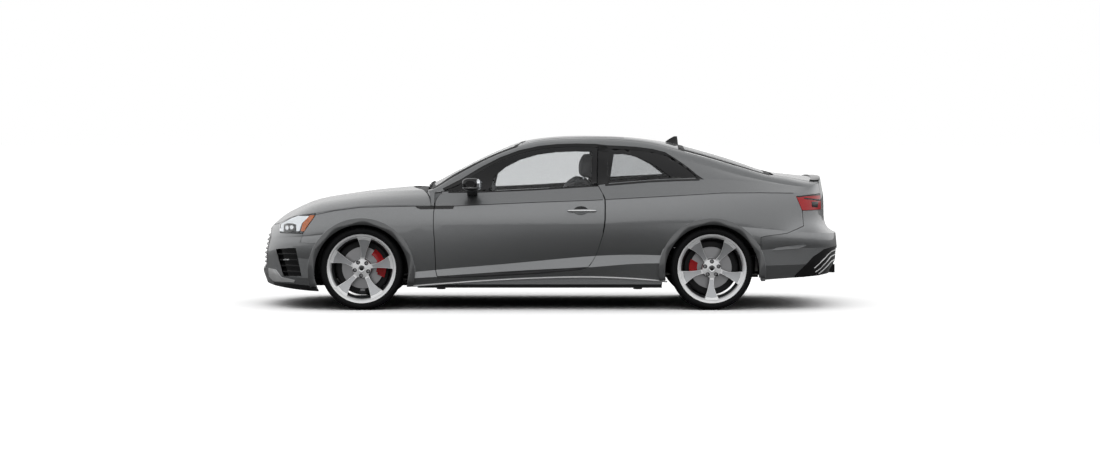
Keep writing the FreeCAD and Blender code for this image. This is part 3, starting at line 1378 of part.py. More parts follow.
def rear_seat():
    bench = side_prism([[(560, 206), (560, 430)], [(560, 430), (575, 468), (620, 478), (860, 440)],
                        [(860, 440), (905, 640), (985, 860), (1000, 905)], [(1000, 905), (1060, 925), (1092, 905)],
                        [(1092, 905), (1030, 660), (985, 422)], [(985, 422), (872, 422)], [(872, 422), (872, 206)]], -560, 560)
    shape = bench.cut(floor_room())
    for y in (-370, 370):
        rest = side_prism([[(1010, 900), (1012, 965), (1030, 990)], [(1030, 990), (1065, 995), (1085, 970)],
                           [(1085, 970), (1080, 900)]], y - 120, y + 120)
        shape = shape.fuse(rest)
    return largest(shape)


def floor_room():
    return fixed["floor_pan"].fuse(moved(fixed["floor_pan"], 0, 0, seat_clearance))


def dashboard():
    """Instrument panel with its column and the centre console."""
    front = wall_rear + seat_clearance
    console_z = tunnel_top + seat_clearance
    panel = side_prism([[(front, 560), (front, plenum_z - 4)], [(front, plenum_z - 4), (-925, plenum_z - 4)],
                        [(-925, plenum_z - 4), (-906, 902)], [(-906, 902), (-820, 914), (-740, 912), (-640, 880), (-585, 830)],
                        [(-585, 830), (-600, 740), (-680, 640), (-760, 570)], [(-760, 570), (front, 560)]], -668, 668)
    console = side_prism([[(front, console_z), (front, 600)], [(front, 600), (-680, 660)],
                          [(-680, 660), (-560, 560), (-420, 520), (-60, 540), (120, 545)],
                          [(120, 545), (180, 480), (190, console_z)]], -100, 100)
    binnacle = side_prism([[(-800, 900), (-780, 940), (-700, 948), (-632, 930)], [(-632, 930), (-620, 870)],
                           [(-620, 870), (-800, 860)]], -seat_y - 170, -seat_y + 170)
    column = rod(32, column_point(-330), column_point(-steering_hub_depth - seat_clearance))
    return largest(panel.fuse([console, binnacle, column]))


steering_tilt = 24.0
steering_centre = V(-395, 0, 838)
steering_radius = 182.0


steering_hub_depth = 14.0


def column_point(along):
    """A point on the steering column's line, measured from the steering wheel's middle towards the driver."""
    a = math.radians(steering_tilt)
    return V(steering_centre.x + along * math.cos(a), -seat_y, steering_centre.z + along * math.sin(a))


def steering_wheel():
    ring = Part.makeTorus(steering_radius - 15, 15)
    hub_part = Part.makeCylinder(62, 34, V(0, 0, -steering_hub_depth))
    spokes = [block(-176, 176, -15, 15, -6, 10), block(-20, 20, -176, 0, -6, 10)]
    shape = ring.fuse([hub_part] + spokes)
    lean = FreeCAD.Placement(V(steering_centre.x, -seat_y, steering_centre.z), FreeCAD.Rotation(Y_AXIS, 90 - steering_tilt))
    turn = FreeCAD.Placement(V(0, 0, 0), FreeCAD.Rotation(Z_AXIS, -90))
    shape.Placement = lean.multiply(turn)
    return shape


# Small outside pieces

def antenna_fin():
    sections = []
    for z, x0, x1, half in [(1296, 938, 1056, 26), (1330, 962, 1054, 17), (1352, 994, 1052, 9), (1370, 1026, 1050, 3.5)]:
        points = [V(x0, 0, z), V(mix(x0, x1, 0.3), half * 0.7, z), V(mix(x0, x1, 0.7), half, z), V(x1, half * 0.5, z),
                  V(x1, -half * 0.5, z), V(mix(x0, x1, 0.7), -half, z), V(mix(x0, x1, 0.3), -half * 0.7, z)]
        loop = Part.BSplineCurve()
        loop.interpolate(points, PeriodicFlag=True)
        sections.append(Part.Wire(loop.toShape()))
    shape = Part.makeLoft(sections, True)
    return largest(shape.cut(moved(slab([canopy], V(0, 0, -90)), 0, 0, seat_clearance)))


def wipers():
    shapes = []
    for y0, y1 in ((-560, 30), (-20, 470)):
        x0 = -958 + 0.00006 * y0 * y0
        blade_part = plan_prism(chain([(-940 - 16, y0), (-962 - 6, y1), (-950 - 6, y1), (-928 - 16, y0)]), 900, 1100)
        layer = moved(slab([canopy], V(0, 0, -12)), 0, 0, 12 + seat_clearance)
        shapes.append(largest(layer.common(blade_part)))
    return Part.Compound(shapes)


def spoiler():
    """A thin lip along the boot lid's rear edge."""
    lid = fixed["trunk_lid"]
    band = []
    for y in range(-540, 541, 90):
        half = abs(y) / belt.width(corner_start_rear)
        edge_x = corner_start_rear + (belt.tail - corner_start_rear) * (1 - half ** corner_power_deck) ** (1 / corner_power_deck)
        band.append((edge_x, y))
    rear = [(x - 2, y) for x, y in band]
    front = [(x - 74, y) for x, y in reversed(band)]
    area = plan_prism([rear, [rear[-1], front[0]], front, [front[-1], rear[0]]], 900, 1150)
    layer = moved(slab([canopy], V(0, 0, -60)), 0, 0, 10)
    shape = layer.common(area).cut(moved(slab([canopy], V(0, 0, -90)), 0, 0, seat_clearance))
    return largest(shape.cut(fixed["trunk_lid"]))


fixed = {}
side_shapes = {}


def build_all():
    made = {}
    left = side_frame()
    side_shapes["left"] = left
    side_shapes["right"] = mirrored(left)
    made["side_frame_left"], made["side_frame_right"] = left, side_shapes["right"]
    for name, maker in [("hood", bonnet), ("trunk_lid", boot_lid), ("roof_panel", roof), ("front_bumper", front_bumper),
                        ("rear_bumper", rear_bumper), ("grille", grille), ("floor_pan", floor_pan), ("front_subframe", front_subframe),
                        ("rear_axle", rear_axle), ("firewall", firewall)]:
        made[name] = maker()
        fixed[name] = made[name]
    made["windscreen"] = pane(windscreen_region(0))
    made["rear_window"] = pane(rear_glass_region(0))
    made["roof_glass"] = pane(roof_glass_region(0))
    for name, maker in [("door", door), ("door_handle", door_handle), ("door_glass", door_glass),
                        ("mirror", mirror_piece), ("fender", fender), ("knuckle", knuckle),
                        ("caliper", front_caliper)]:
        shape = maker()
        made[name + "_left"], made[name + "_right"] = shape, mirrored(shape)
        fixed[name + "_left"] = shape
    for name, maker in [("quarter_glasses", quarter_glass), ("headlamps", head_lamp), ("tail_lamps", tail_lamp),
                        ("side_skirts", skirt), ("front_seats", front_seat)]:
        made[name] = both_sides(maker())
    for name, maker in [("diffuser", diffuser), ("parcel_shelf", parcel_shelf),
                        ("wheel_liners", wheel_liners), ("engine", engine), ("exhaust", exhaust),
                        ("rear_calipers", rear_calipers), ("rear_seat", rear_seat), ("dashboard", dashboard),
                        ("steering_wheel", steering_wheel), ("antenna_fin", antenna_fin), ("wipers", wipers),
                        ("spoiler", spoiler)]:
        made[name] = maker()
    for where, (x, side, turn) in wheel_places.items():
        made["tyre_" + where] = placed(tyre(), where)
        made["rim_" + where] = placed(rim(turn), where)
        made["disc_" + where] = placed(disc(), where)
    return made


if __name__ == "__main__":
    os.makedirs(parts_folder, exist_ok=True)
    for part_name, part_shape in build_all().items():
        part_shape.exportStep(os.path.join(parts_folder, part_name + ".step"))
        print(part_name, part_shape.isValid(), len(part_shape.Solids), round(part_shape.Volume / 1e6, 2), flush=True)
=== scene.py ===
import bpy
import math
import mathutils
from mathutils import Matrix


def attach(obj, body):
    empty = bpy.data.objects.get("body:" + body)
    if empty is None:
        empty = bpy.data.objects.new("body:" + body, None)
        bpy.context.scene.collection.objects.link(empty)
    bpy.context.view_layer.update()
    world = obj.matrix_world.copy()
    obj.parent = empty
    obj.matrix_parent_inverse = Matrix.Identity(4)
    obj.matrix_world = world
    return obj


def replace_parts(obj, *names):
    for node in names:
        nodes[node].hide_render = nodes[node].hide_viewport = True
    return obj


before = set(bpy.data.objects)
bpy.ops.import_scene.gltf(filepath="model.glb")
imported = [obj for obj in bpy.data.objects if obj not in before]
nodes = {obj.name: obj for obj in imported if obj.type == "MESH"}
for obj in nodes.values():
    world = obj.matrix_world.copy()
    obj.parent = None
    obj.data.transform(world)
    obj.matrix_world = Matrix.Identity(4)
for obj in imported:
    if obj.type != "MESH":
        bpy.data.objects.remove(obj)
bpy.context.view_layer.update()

sideways = (("left", -1), ("right", 1))
frontAxle, rearAxle = -1.4825, 1.2815      # x of the wheels' centres
axleHeight = 0.328
wheelPlane = 0.783      # the tyres' middle, out from the car's middle
wheelSpots = {      # turn is how far the CAD rim's blades are turned, carrier is what holds the brake
    end + "_" + tag: {"x": x, "side": side, "turn": turn, "carrier": carrier.format(tag)}
    for end, x, turn, carrier in (("front", frontAxle, 5, "knuckle_{}"), ("rear", rearAxle, 180, "body"))
    for tag, side in sideways}
print("frame loaded", len(nodes), "nodes")


# small helpers

mesh = bpy.ops.mesh


def enterEdit():
    bpy.ops.object.mode_set(mode="EDIT")


def leaveEdit():
    bpy.ops.object.mode_set(mode="OBJECT")


def selectAll():
    mesh.select_all(action="SELECT")


def clearSelection():
    if bpy.context.object and bpy.context.object.mode != "OBJECT":
        leaveEdit()
    bpy.ops.object.select_all(action="DESELECT")


def pick(piece):
    clearSelection()
    piece.select_set(True)
    bpy.context.view_layer.objects.active = piece


def editAll(piece):
    pick(piece)
    enterEdit()
    selectAll()


# edit mode with only the faces or corners selected that pass
def editChosen(piece, kind, chosen):
    pick(piece)
    enterEdit()
    mesh.select_mode(type=kind)
    mesh.select_all(action="DESELECT")
    leaveEdit()
    for part in piece.data.polygons if kind == "FACE" else piece.data.vertices:
        part.select = chosen(part)
    enterEdit()


def editFaces(piece, chosen):
    editChosen(piece, "FACE", lambda face: chosen(face.normal, face.center))


def editCorners(piece, chosen):
    editChosen(piece, "VERT", lambda corner: chosen(corner.co))


def settle(piece):
    pick(piece)
    bpy.ops.object.transform_apply(location=True, rotation=True, scale=True)


# the place goes into the mesh, then the finish, the shading and the body
def finishPiece(piece, name, body, kind, smooth=35):
    settle(piece)
    piece.name = name
    piece.data.materials.clear()
    piece.data.materials.append(finish[kind])
    if smooth:
        bpy.ops.object.shade_smooth_by_angle(angle=math.radians(smooth))
    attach(piece, body)
    return piece


def apply(piece, modifier):
    pick(piece)
    bpy.ops.object.modifier_apply(modifier=modifier.name)


def linked(name, data):
    piece = bpy.data.objects.new(name, data)
    bpy.context.scene.collection.objects.link(piece)
    return piece


# a copy with its own mesh
def copyOf(piece, name="copy"):
    return linked(name, piece.data.copy())


def joined(pieces):
    pick(pieces[0])
    for piece in pieces:
        piece.select_set(True)
    bpy.ops.object.join()
    return pieces[0]


# one corner drawn out along the points, left in edit mode
def startLine(points):
    clearSelection()
    mesh.primitive_plane_add(size=0.001, location=(0, 0, 0))
    piece = bpy.context.object
    enterEdit()
    mesh.select_mode(type="VERT")
    selectAll()
    mesh.merge(type="CENTER")
    bpy.ops.transform.translate(value=points[0])
    for a, b in zip(points, points[1:]):
        step = tuple(q - p for p, q in zip(a, b))
        mesh.extrude_vertices_move(TRANSFORM_OT_translate={"value": step})
    return piece


# an outline in (x, z) drawn across y, or with plan in (x, y) drawn up z
def prismCutter(outline, low, high, plan=False):
    place = (lambda u, v: (u, v, low)) if plan else (lambda u, v: (u, low, v))
    piece = startLine([place(u, v) for u, v in outline])
    selectAll()
    mesh.edge_face_add()
    push = (0, 0, high - low) if plan else (0, high - low, 0)
    mesh.extrude_region_move(TRANSFORM_OT_translate={"value": push})
    selectAll()
    mesh.normals_make_consistent(inside=False)
    leaveEdit()
    return piece


def trim(piece, cutter, operation):
    change = piece.modifiers.new("trim", "BOOLEAN")
    change.object = cutter
    change.operation = operation
    change.solver = "EXACT"
    apply(piece, change)
    bpy.data.objects.remove(cutter)


# a merged copy of a CAD node's mesh, free of the frame
def looseCopy(nodeName):
    piece = copyOf(nodes[nodeName])
    piece.matrix_world = nodes[nodeName].matrix_world
    settle(piece)
    editAll(piece)
    mesh.remove_doubles(threshold=0.00002)
    leaveEdit()
    piece.data.materials.clear()
    return piece


# a thin cover cut out of a CAD node's own outer skin, standing off by its thickness
def skinPatch(nodeName, outline, thickness, keep, low, high, plan=False, hole=None, shift=(0, 0, 0)):
    piece = looseCopy(nodeName)
    trim(piece, prismCutter(outline, low, high, plan), "INTERSECT")
    if hole:
        trim(piece, prismCutter(hole, low, high, plan), "DIFFERENCE")
    editFaces(piece, lambda normal, centre: not keep(normal, centre))
    mesh.delete(type="FACE")
    leaveEdit()
    if any(shift):
        piece.location = shift
        settle(piece)
    wall = piece.modifiers.new("wall", "SOLIDIFY")
    wall.thickness = thickness
    wall.offset = 1
    apply(piece, wall)
    return piece


# a closed profile of (radius, y) points, turned about the Y axis
def spun(profile, steps):
    piece = startLine([(0, y, r) for r, y in profile])
    ends = (0, len(profile) - 1)
    editChosen(piece, "VERT", lambda corner: corner.index in ends)
    mesh.edge_face_add()
    selectAll()
    mesh.spin(steps=steps, angle=math.tau, center=(0, 0, 0), axis=(0, 1, 0))
    selectAll()
    mesh.remove_doubles(threshold=0.00001)
    mesh.normals_make_consistent(inside=False)
    leaveEdit()
    return piece


# a round strip along points, as a mesh
def tubeAlong(points, radius):
    curve = bpy.data.curves.new("strip", "CURVE")
    curve.dimensions = "3D"
    curve.bevel_depth = radius
    curve.bevel_resolution = 4
    curve.use_fill_caps = True
    line = curve.splines.new("NURBS")
    line.points.add(len(points) - 1)
    for point, place in zip(line.points, points):
        point.co = (*place, 1)
    line.order_u = 3
    line.use_endpoint_u = True
    pick(linked("strip", curve))
    bpy.ops.object.convert(target="MESH")
    return bpy.context.object


# the y limits of a piece on one side, the lower first
def span(side, near, far):
    return sorted((side * near, side * far))


# a piece and its fellow across the car; make gets the side's name and sign
def addPair(label, kind, make, body="body", smooth=35):
    for tag, side in sideways:
        finishPiece(make(tag, side), label + tag.title(), body.format(tag), kind, smooth)


cutReach = (0.35, 1.2)      # how far in and out a side's cutter goes
film, cover = 0.0008, 0.0012      # how thick a cover is on glass and at the sill, and elsewhere
straight = 0.9      # from here on a face's normal counts as along an axis


# the same cover cut from the skin on the car's left and right; least is how far outwards its faces look,
# and rise sets it off outwards and forwards
def addSidePatch(label, names, outline, thickness=cover, slot="black_trim", kind="glossBlack", body="body",
                 hole=None, least=0.2, rise=0.0):
    addPair(label, kind, lambda tag, side: skinPatch(
        names.format(tag), outline, thickness, lambda normal, centre: normal.y * side > least and centre.y * side > 0,
        *span(side, *cutReach), hole=hole, shift=(-rise, side * rise, 0)), body)


def addSideTube(label, points, radius, kind):
    addPair(label, kind, lambda tag, side: tubeAlong([(x, side * y, z) for x, y, z in points], radius))


# shader effects shared by several materials

# a socket takes another socket's output or a plain value
def feed(tree, socket, value):
    if isinstance(value, bpy.types.NodeSocket):
        tree.links.new(value, socket)
    else:
        socket.default_value = value


# a node with its inputs fed by name, _ standing for a blank
def addNode(tree, kind, **values):
    node = tree.nodes.new("ShaderNode" + kind)
    for label, value in values.items():
        feed(tree, node.inputs[label.replace("_", " ")], value)
    return node


def addMath(tree, operation, *values):
    node = addNode(tree, "Math")
    node.operation = operation
    for socket, value in zip(node.inputs, values):
        feed(tree, socket, value)
    return node.outputs[0]


# a where factor is 0, b where it is 1
def addMix(tree, factor, a, b, kind="RGBA", blend="MIX"):
    mix = addNode(tree, "Mix")
    mix.data_type = kind
    mix.blend_type = blend
    for label, value in (("Factor", factor), ("A", a), ("B", b)):
        feed(tree, mix.inputs[label], value)
    return mix.outputs["Result"]


# an input with no number is a colour, and so is an output called Color
def newGroup(name, inputs, outputs):
    group = bpy.data.node_groups.new(name, "ShaderNodeTree")
    for label, value in inputs.items():
        kind = "NodeSocketColor" if value is None else "NodeSocketFloat"
        socket = group.interface.new_socket(name=label, in_out="INPUT", socket_type=kind)
        if value is not None:
            socket.default_value = value
    for label in outputs:
        kind = "NodeSocketColor" if label == "Color" else "NodeSocketFloat"
        group.interface.new_socket(name=label, in_out="OUTPUT", socket_type=kind)
    return group, group.nodes.new("NodeGroupInput").outputs, group.nodes.new("NodeGroupOutput").inputs


# metal flakes in paint: each tiny cell a little lighter or darker
def makeFlakeEffect():
    group, start, end = newGroup("flakeEffect", {"Dark": None, "Light": None, "Scale": 1800.0}, ["Color"])
    place = addNode(group, "TexCoord").outputs["Object"]
    cells = addNode(group, "TexVoronoi", Vector=place, Scale=start["Scale"])
    shades = addNode(group, "SeparateColor", Color=cells.outputs["Color"])
    feed(group, end["Color"], addMix(group, shades.outputs["Red"], start["Dark"], start["Light"]))
    return group


cloudLook = {"scale": 9, "detail": 5, "middle": 0.5}


# moulded or leather grain: height, and a slow mottling for roughness and colour
def makeGrainEffect(v):
    group, start, end = newGroup("grainEffect", {"Scale": 400.0, "Rough": 0.5, "Spread": 0.15},
                                 ["Height", "Roughness", "Mottle"])
    place = addNode(group, "TexCoord").outputs["Object"]
    cells = addNode(group, "TexVoronoi", Vector=place, Scale=start["Scale"])
    cells.feature = "SMOOTH_F1"
    cloud = addNode(group, "TexNoise", Vector=place, Scale=v["scale"], Detail=v["detail"]).outputs["Fac"]
    centred = addMath(group, "SUBTRACT", cloud, v["middle"])
    feed(group, end["Height"], cells.outputs["Distance"])
    feed(group, end["Roughness"], addMath(group, "MULTIPLY_ADD", centred, start["Spread"], start["Rough"]))
    feed(group, end["Mottle"], cloud)
    return group


maskLook = {"inside": -0.1, "under": -0.3}


# Inside is 1 on faces that look towards the car's middle, Under on faces that look down
def makeInsideMask(v):
    group, start, end = newGroup("insideMask", {}, ["Inside", "Under"])
    place = addNode(group, "TexCoord").outputs
    where = addNode(group, "SeparateXYZ", Vector=place["Object"]).outputs
    facing = addNode(group, "SeparateXYZ", Vector=place["Normal"]).outputs
    outward = addMath(group, "MULTIPLY", where["Y"], facing["Y"])
    feed(group, end["Inside"], addMath(group, "LESS_THAN", outward, v["inside"]))
    feed(group, end["Under"], addMath(group, "LESS_THAN", facing["Z"], v["under"]))
    return group


flakeEffect = makeFlakeEffect()
grainEffect = makeGrainEffect(cloudLook)
insideMask = makeInsideMask(maskLook)


# finishes

def newMaterial(name, **values):
    material = bpy.data.materials.new(name)
    material.use_nodes = True
    shader = material.node_tree.nodes["Principled BSDF"]
    for label, value in values.items():
        shader.inputs[label.replace("_", " ")].default_value = value
    return material, material.node_tree, shader.inputs


def addGroup(tree, group, **values):
    node = tree.nodes.new("ShaderNodeGroup")
    node.node_tree = group
    for label, value in values.items():
        node.inputs[label].default_value = value
    return node.outputs


def shaded(colour, share=1.0):
    return tuple(c * share for c in colour) + (1,)


paintLook = {"dark": (0.18, 0.185, 0.19), "light": (0.3, 0.307, 0.313), "metallic": 0.85, "roughness": 0.36,
             "coat": 1.0, "coatRoughness": 0.04}
liningLook = {"colour": (0.035, 0.036, 0.038), "scale": 500.0, "roughness": 0.7, "spread": 0.2}


# metallic grey paint under clear coat; lined names the mask of the panel's dull lining, and shade darkens a copy of the
# paint that stands for painted shade
def makePaint(name, lined=None, shade=1.0):
    v, lining = paintLook, liningLook
    material, tree, shader = newMaterial(name, Metallic=v["metallic"], Roughness=v["roughness"],
                                         Coat_Weight=v["coat"], Coat_Roughness=v["coatRoughness"])
    colour = addGroup(tree, flakeEffect, Dark=shaded(v["dark"], shade), Light=shaded(v["light"], shade))["Color"]
    if lined:
        inner = addGroup(tree, insideMask)[lined]
        grain = addGroup(tree, grainEffect, Scale=lining["scale"], Rough=lining["roughness"], Spread=lining["spread"])
        colour = addMix(tree, inner, colour, shaded(lining["colour"]))
        for label, outside, inside in (("Metallic", v["metallic"], 0.0), ("Coat Weight", v["coat"], 0.0),
                                       ("Roughness", v["roughness"], grain["Roughness"])):
            feed(tree, shader[label], addMix(tree, inner, outside, inside, "FLOAT"))
    feed(tree, shader["Base Color"], colour)
    return material


grainBump = 0.25      # strength; the height of the grain is in metres
plasticSpread, metalShade, metalScale = 0.12, 0.82, 900.0


# a finish that wanders between two shades, with grain where it has a height
def makeGrained(name, dark, light, rough, scale, spread, height=0.0, **values):
    material, tree, shader = newMaterial(name, **values)
    grain = addGroup(tree, grainEffect, Scale=scale, Rough=rough, Spread=spread)
    feed(tree, shader["Base Color"], addMix(tree, grain["Mottle"], dark, light))
    feed(tree, shader["Roughness"], grain["Roughness"])
    if height:
        bump = addNode(tree, "Bump", Strength=grainBump, Distance=height, Height=grain["Height"])
        feed(tree, shader["Normal"], bump.outputs["Normal"])
    return material


def makePlastic(name, colour, rough, scale, height, mottle=0.3, shine=0.5):
    return makeGrained(name, shaded(colour, 1 - mottle), shaded(colour), rough, scale, plasticSpread, height,
                       Specular_IOR_Level=shine)


def makeMetal(name, colour, rough, spread=0.1, metallic=1.0, coat=0.0):
    return makeGrained(name, shaded(colour, metalShade), shaded(colour), rough, metalScale, spread, Metallic=metallic,
                       Coat_Weight=coat)


rimLook = {"bright": (0.97, 0.975, 0.98), "dark": (0.05, 0.051, 0.054), "paintTo": 0.076, "brightFrom": 0.08,
           "roughPaint": 0.5, "roughBright": 0.42, "metallic": 0.7}


# bright outer faces and lip; the barrel and spoke sides behind them are near-black, partly their paint and partly
# painted shade deep inside the wheel
def makeWheelBright(name, v):
    material, tree, shader = newMaterial(name, Metallic=v["metallic"])
    where = addNode(tree, "SeparateXYZ", Vector=addNode(tree, "TexCoord").outputs["Object"])
    outer = addNode(tree, "MapRange", Value=addMath(tree, "ABSOLUTE", where.outputs["Y"]),
                    From_Min=wheelPlane + v["paintTo"], From_Max=wheelPlane + v["brightFrom"])
    mask = outer.outputs["Result"]
    feed(tree, shader["Base Color"], addMix(tree, mask, shaded(v["dark"]), shaded(v["bright"])))
    feed(tree, shader["Roughness"], addMix(tree, mask, v["roughPaint"], v["roughBright"], "FLOAT"))
    return material


def makeGlass(name, colour):
    return newMaterial(name, Base_Color=shaded(colour), Roughness=0.02, Transmission_Weight=1.0, IOR=1.05,
                       Coat_Weight=0.6, Coat_Roughness=0.02)[0]


finish = {
    "paint": makePaint("bodyPaint"),
    "panelPaint": makePaint("bodyPaintLined", "Inside"),
    "roofPaint": makePaint("roofPaintLined", "Under"),
    # body paint darkened as painted shade for the wheel arch lips
    "archPaint": makePaint("archPaint", shade=0.42),
    "glass": makeGlass("sideGlass", (0.73, 0.74, 0.745)),
    "quarterGlass": makeGlass("quarterGlass", (0.595, 0.605, 0.61)),
    "rearGlass": makeGlass("rearGlass", (0.22, 0.23, 0.24)),
    "darkGlass": makeGlass("darkGlass", (0.09, 0.1, 0.11)),
    "lampGlass": makeGlass("lampGlass", (0.96, 0.97, 0.98)),
    "glossBlack": makePlastic("glossBlack", (0.012, 0.012, 0.013), 0.12, 60, 0.00002),
    "plastic": makePlastic("mouldedPlastic", (0.03, 0.03, 0.032), 0.55, 700, 0.0002),
    "lining": makePlastic("cabinPlastic", (0.06, 0.06, 0.064), 0.6, 900, 0.0002),
    "leather": makePlastic("seatLeather", (0.075, 0.075, 0.08), 0.48, 420, 0.0005),
    "rubber": makePlastic("tyreRubber", (0.01, 0.01, 0.011), 0.7, 500, 0.0003, shine=0.2),
    "caliper": makePlastic("caliperPaint", (0.9, 0.01, 0.018), 0.25, 40, 0.00002, 0.1),
    "redLens": makePlastic("redLens", (0.78, 0.008, 0.016), 0.1, 300, 0.00005, 0.2),
    "amberLens": makePlastic("amberLens", (0.55, 0.13, 0.02), 0.15, 300, 0.0001, 0.2),
    "lampWhite": makePlastic("lampWhite", (0.9, 0.92, 0.94), 0.2, 60, 0.00002, 0.05),
    # the dark ceramic print round a glass
    "fritBlack": makeGrained("fritBlack", (0.008, 0.008, 0.009, 1), (0.014, 0.014, 0.015, 1), 0.45, 1500.0, 0.1,
                             Specular_IOR_Level=0.12),
    "satinBright": makeMetal("satinBright", (0.9, 0.905, 0.91), 0.38, metallic=0.4),
    "silver": makeMetal("satinSilver", (0.88, 0.89, 0.9), 0.22),
    "wheelPaint": makeMetal("paintedAlloy", (0.55, 0.56, 0.575), 0.4, coat=0.3, metallic=0.9),
    "wheelBright": makeWheelBright("machinedRim", rimLook),
    "iron": makeMetal("brakeIron", (0.45, 0.45, 0.46), 0.32),
    "steel": makeMetal("coatedSteel", (0.03, 0.03, 0.032), 0.5, metallic=0.3),
    "alloy": makeMetal("castAlloy", (0.4, 0.4, 0.41), 0.5),
    "exhaust": makeMetal("exhaustSteel", (0.5, 0.49, 0.47), 0.35),
    "mirrorGlass": makeMetal("mirrorGlass", (0.85, 0.87, 0.9), 0.02, spread=0.01),
}
print("finishes made", len(finish))


# CAD nodes keep their shapes and get their finishes; {} stands for left and right

nodeFinish = {
    "panelPaint": "side_frame_{} door_{} fender_{}",
    "roofPaint": "roof_panel",
    "paint": "hood trunk_lid front_bumper rear_bumper side_skirts",
    "glass": "windscreen door_glass_{}",
    "quarterGlass": "quarter_glasses",
    "rearGlass": "rear_window",
    "darkGlass": "roof_glass",
    "glossBlack": "grille diffuser headlamps antenna_fin spoiler mirror_{}",
    "redLens": "tail_lamps",
    "exhaust": "exhaust",
    "plastic": "firewall wheel_liners wipers",
    "lining": "parcel_shelf dashboard",
    "leather": "front_seats rear_seat steering_wheel",
    "steel": "floor_pan front_subframe rear_axle",
    "alloy": "engine knuckle_{}",
    "caliper": "rear_calipers caliper_{}",
    "silver": "door_handle_{}",
    "rubber": "tyre_front_{} tyre_rear_{}",
    "wheelBright": "rim_front_{} rim_rear_{}",
    "iron": "disc_front_{} disc_rear_{}",
}
for kind, names in nodeFinish.items():
    for name in sorted({name.format(tag) for name in names.split() for tag, side in sideways}):
        nodes[name].data.materials.clear()
        nodes[name].data.materials.append(finish[kind])
print("finishes set on nodes")


# wheels: each part is modelled once about the wheel's centre and copied to every spot

tyreLook = {
    "radius": 0.328, "crown": 0.6, "halfTread": 0.0975, "halfWall": 0.1275, "bead": 0.2545, "flange": 0.2725,
    "steps": 180, "grooves": (-0.058, -0.02, 0.02, 0.058), "grooveWidth": 0.0095, "grooveDepth": 0.0072,
    "grooveFloor": 0.6,
    "sipeInner": 0.066, "sipeOuter": 0.104, "sipeRadius": 0.309, "sipeEvery": 3, "sipeEdge": 0.0022, "sipeDepth": 0.005}


# tread with grooves, shoulders, wall rings and beads, from one bead across to the other
def tyreProfile(v):
    crown = lambda y: v["radius"] - v["crown"] * y * y
    half = v["grooveWidth"] / 2
    flat = half * v["grooveFloor"]
    tread = []
    for y in v["grooves"]:
        floor = crown(y) - v["grooveDepth"]
        tread += [(crown(y - half), y - half), (floor, y - flat), (floor, y + flat), (crown(y + half), y + half)]
    r, edge, wall = v["radius"], v["halfTread"], v["halfWall"]
    side = [(crown(edge), edge), (r - 0.0105, edge + 0.012), (r - 0.0125, edge + 0.0125), (r - 0.02, wall - 0.004),
            (r - 0.03, wall - 0.0006), (r - 0.0305, wall - 0.0021), (r - 0.0325, wall - 0.0021), (r - 0.033, wall),
            (0.288, wall - 0.0008), (0.2875, wall - 0.0022), (0.2855, wall - 0.0022), (0.285, wall - 0.0014),
            (0.28, wall - 0.004), (0.2745, wall - 0.0085), (v["flange"], wall - 0.0135), (v["bead"], wall - 0.0175)]
    return [(radius, -y) for radius, y in reversed(side)] + tread + side


# the turned tyre with short slots across its shoulders
def makeTyre(v):
    tyre = spun(tyreProfile(v), v["steps"])

    def isSipe(normal, centre):
        step = int(math.degrees(math.atan2(centre.z, centre.x)) // (360 / v["steps"]))
        return (step % v["sipeEvery"] == 0 and v["sipeInner"] < abs(centre.y) < v["sipeOuter"]
                and math.hypot(centre.x, centre.z) > v["sipeRadius"])

    editFaces(tyre, isSipe)
    mesh.inset(thickness=v["sipeEdge"], depth=0, use_boundary=True)
    mesh.extrude_region_shrink_fatten(TRANSFORM_OT_shrink_fatten={"value": -v["sipeDepth"]})
    leaveEdit()
    return tyre


blades = 5
bladeStep = 360 / blades


# a bolt sits midway between two blades
def boltSpots(circle):
    angles = [math.radians(bladeStep * (index + 0.5)) for index in range(blades)]
    return [(circle * math.sin(angle), circle * math.cos(angle)) for angle in angles]


boltLook = {"circle": 0.056, "middle": -0.06, "radius": 0.0092, "length": 0.024, "collar": 0.0115,
            "collarStep": 0.01, "collarLength": 0.006}


# bolt heads, each on a round collar, in the recesses round the hub
def makeBolts(v):
    clearSelection()
    heads = []
    for x, z in boltSpots(v["circle"]):
        for sides, radius, length, y in ((6, v["radius"], v["length"], v["middle"]),
                                         (24, v["collar"], v["collarLength"], v["middle"] + v["collarStep"])):
            mesh.primitive_cylinder_add(vertices=sides, radius=radius, depth=length, location=(x, y, z),
                                                rotation=(math.pi / 2, 0, 0))
            heads.append(bpy.context.object)
    bolts = joined(heads)
    settle(bolts)
    return bolts


wellShadeLook = {"circle": 0.056, "steps": 28, "profile": [
    (0.0118, -0.09), (0.0118, -0.0992), (0.0162, -0.0992), (0.0162, -0.096), (0.0127, -0.096), (0.0127, -0.09)]}


# dark sleeves with a collar, one in each bolt recess: painted shade that darkens the recesses
def makeWellShades(v):
    wellShades = []
    for x, z in boltSpots(v["circle"]):
        well = spun(v["profile"], v["steps"])
        well.location = (x, 0, z)
        settle(well)
        wellShades.append(well)
    return joined(wellShades)


# outline as radius and degrees from the blade's middle line
bladeLook = {"thickness": 0.0008, "facing": -0.6, "low": -1.2, "high": -0.83, "outline": [
    (0.088, 9.0), (0.14, 9.3), (0.2, 11.2), (0.229, 11.9), (0.231, 0), (0.229, -10.9), (0.2, -9.4), (0.17, -7.0),
    (0.12, -5.4), (0.088, -7.5)]}


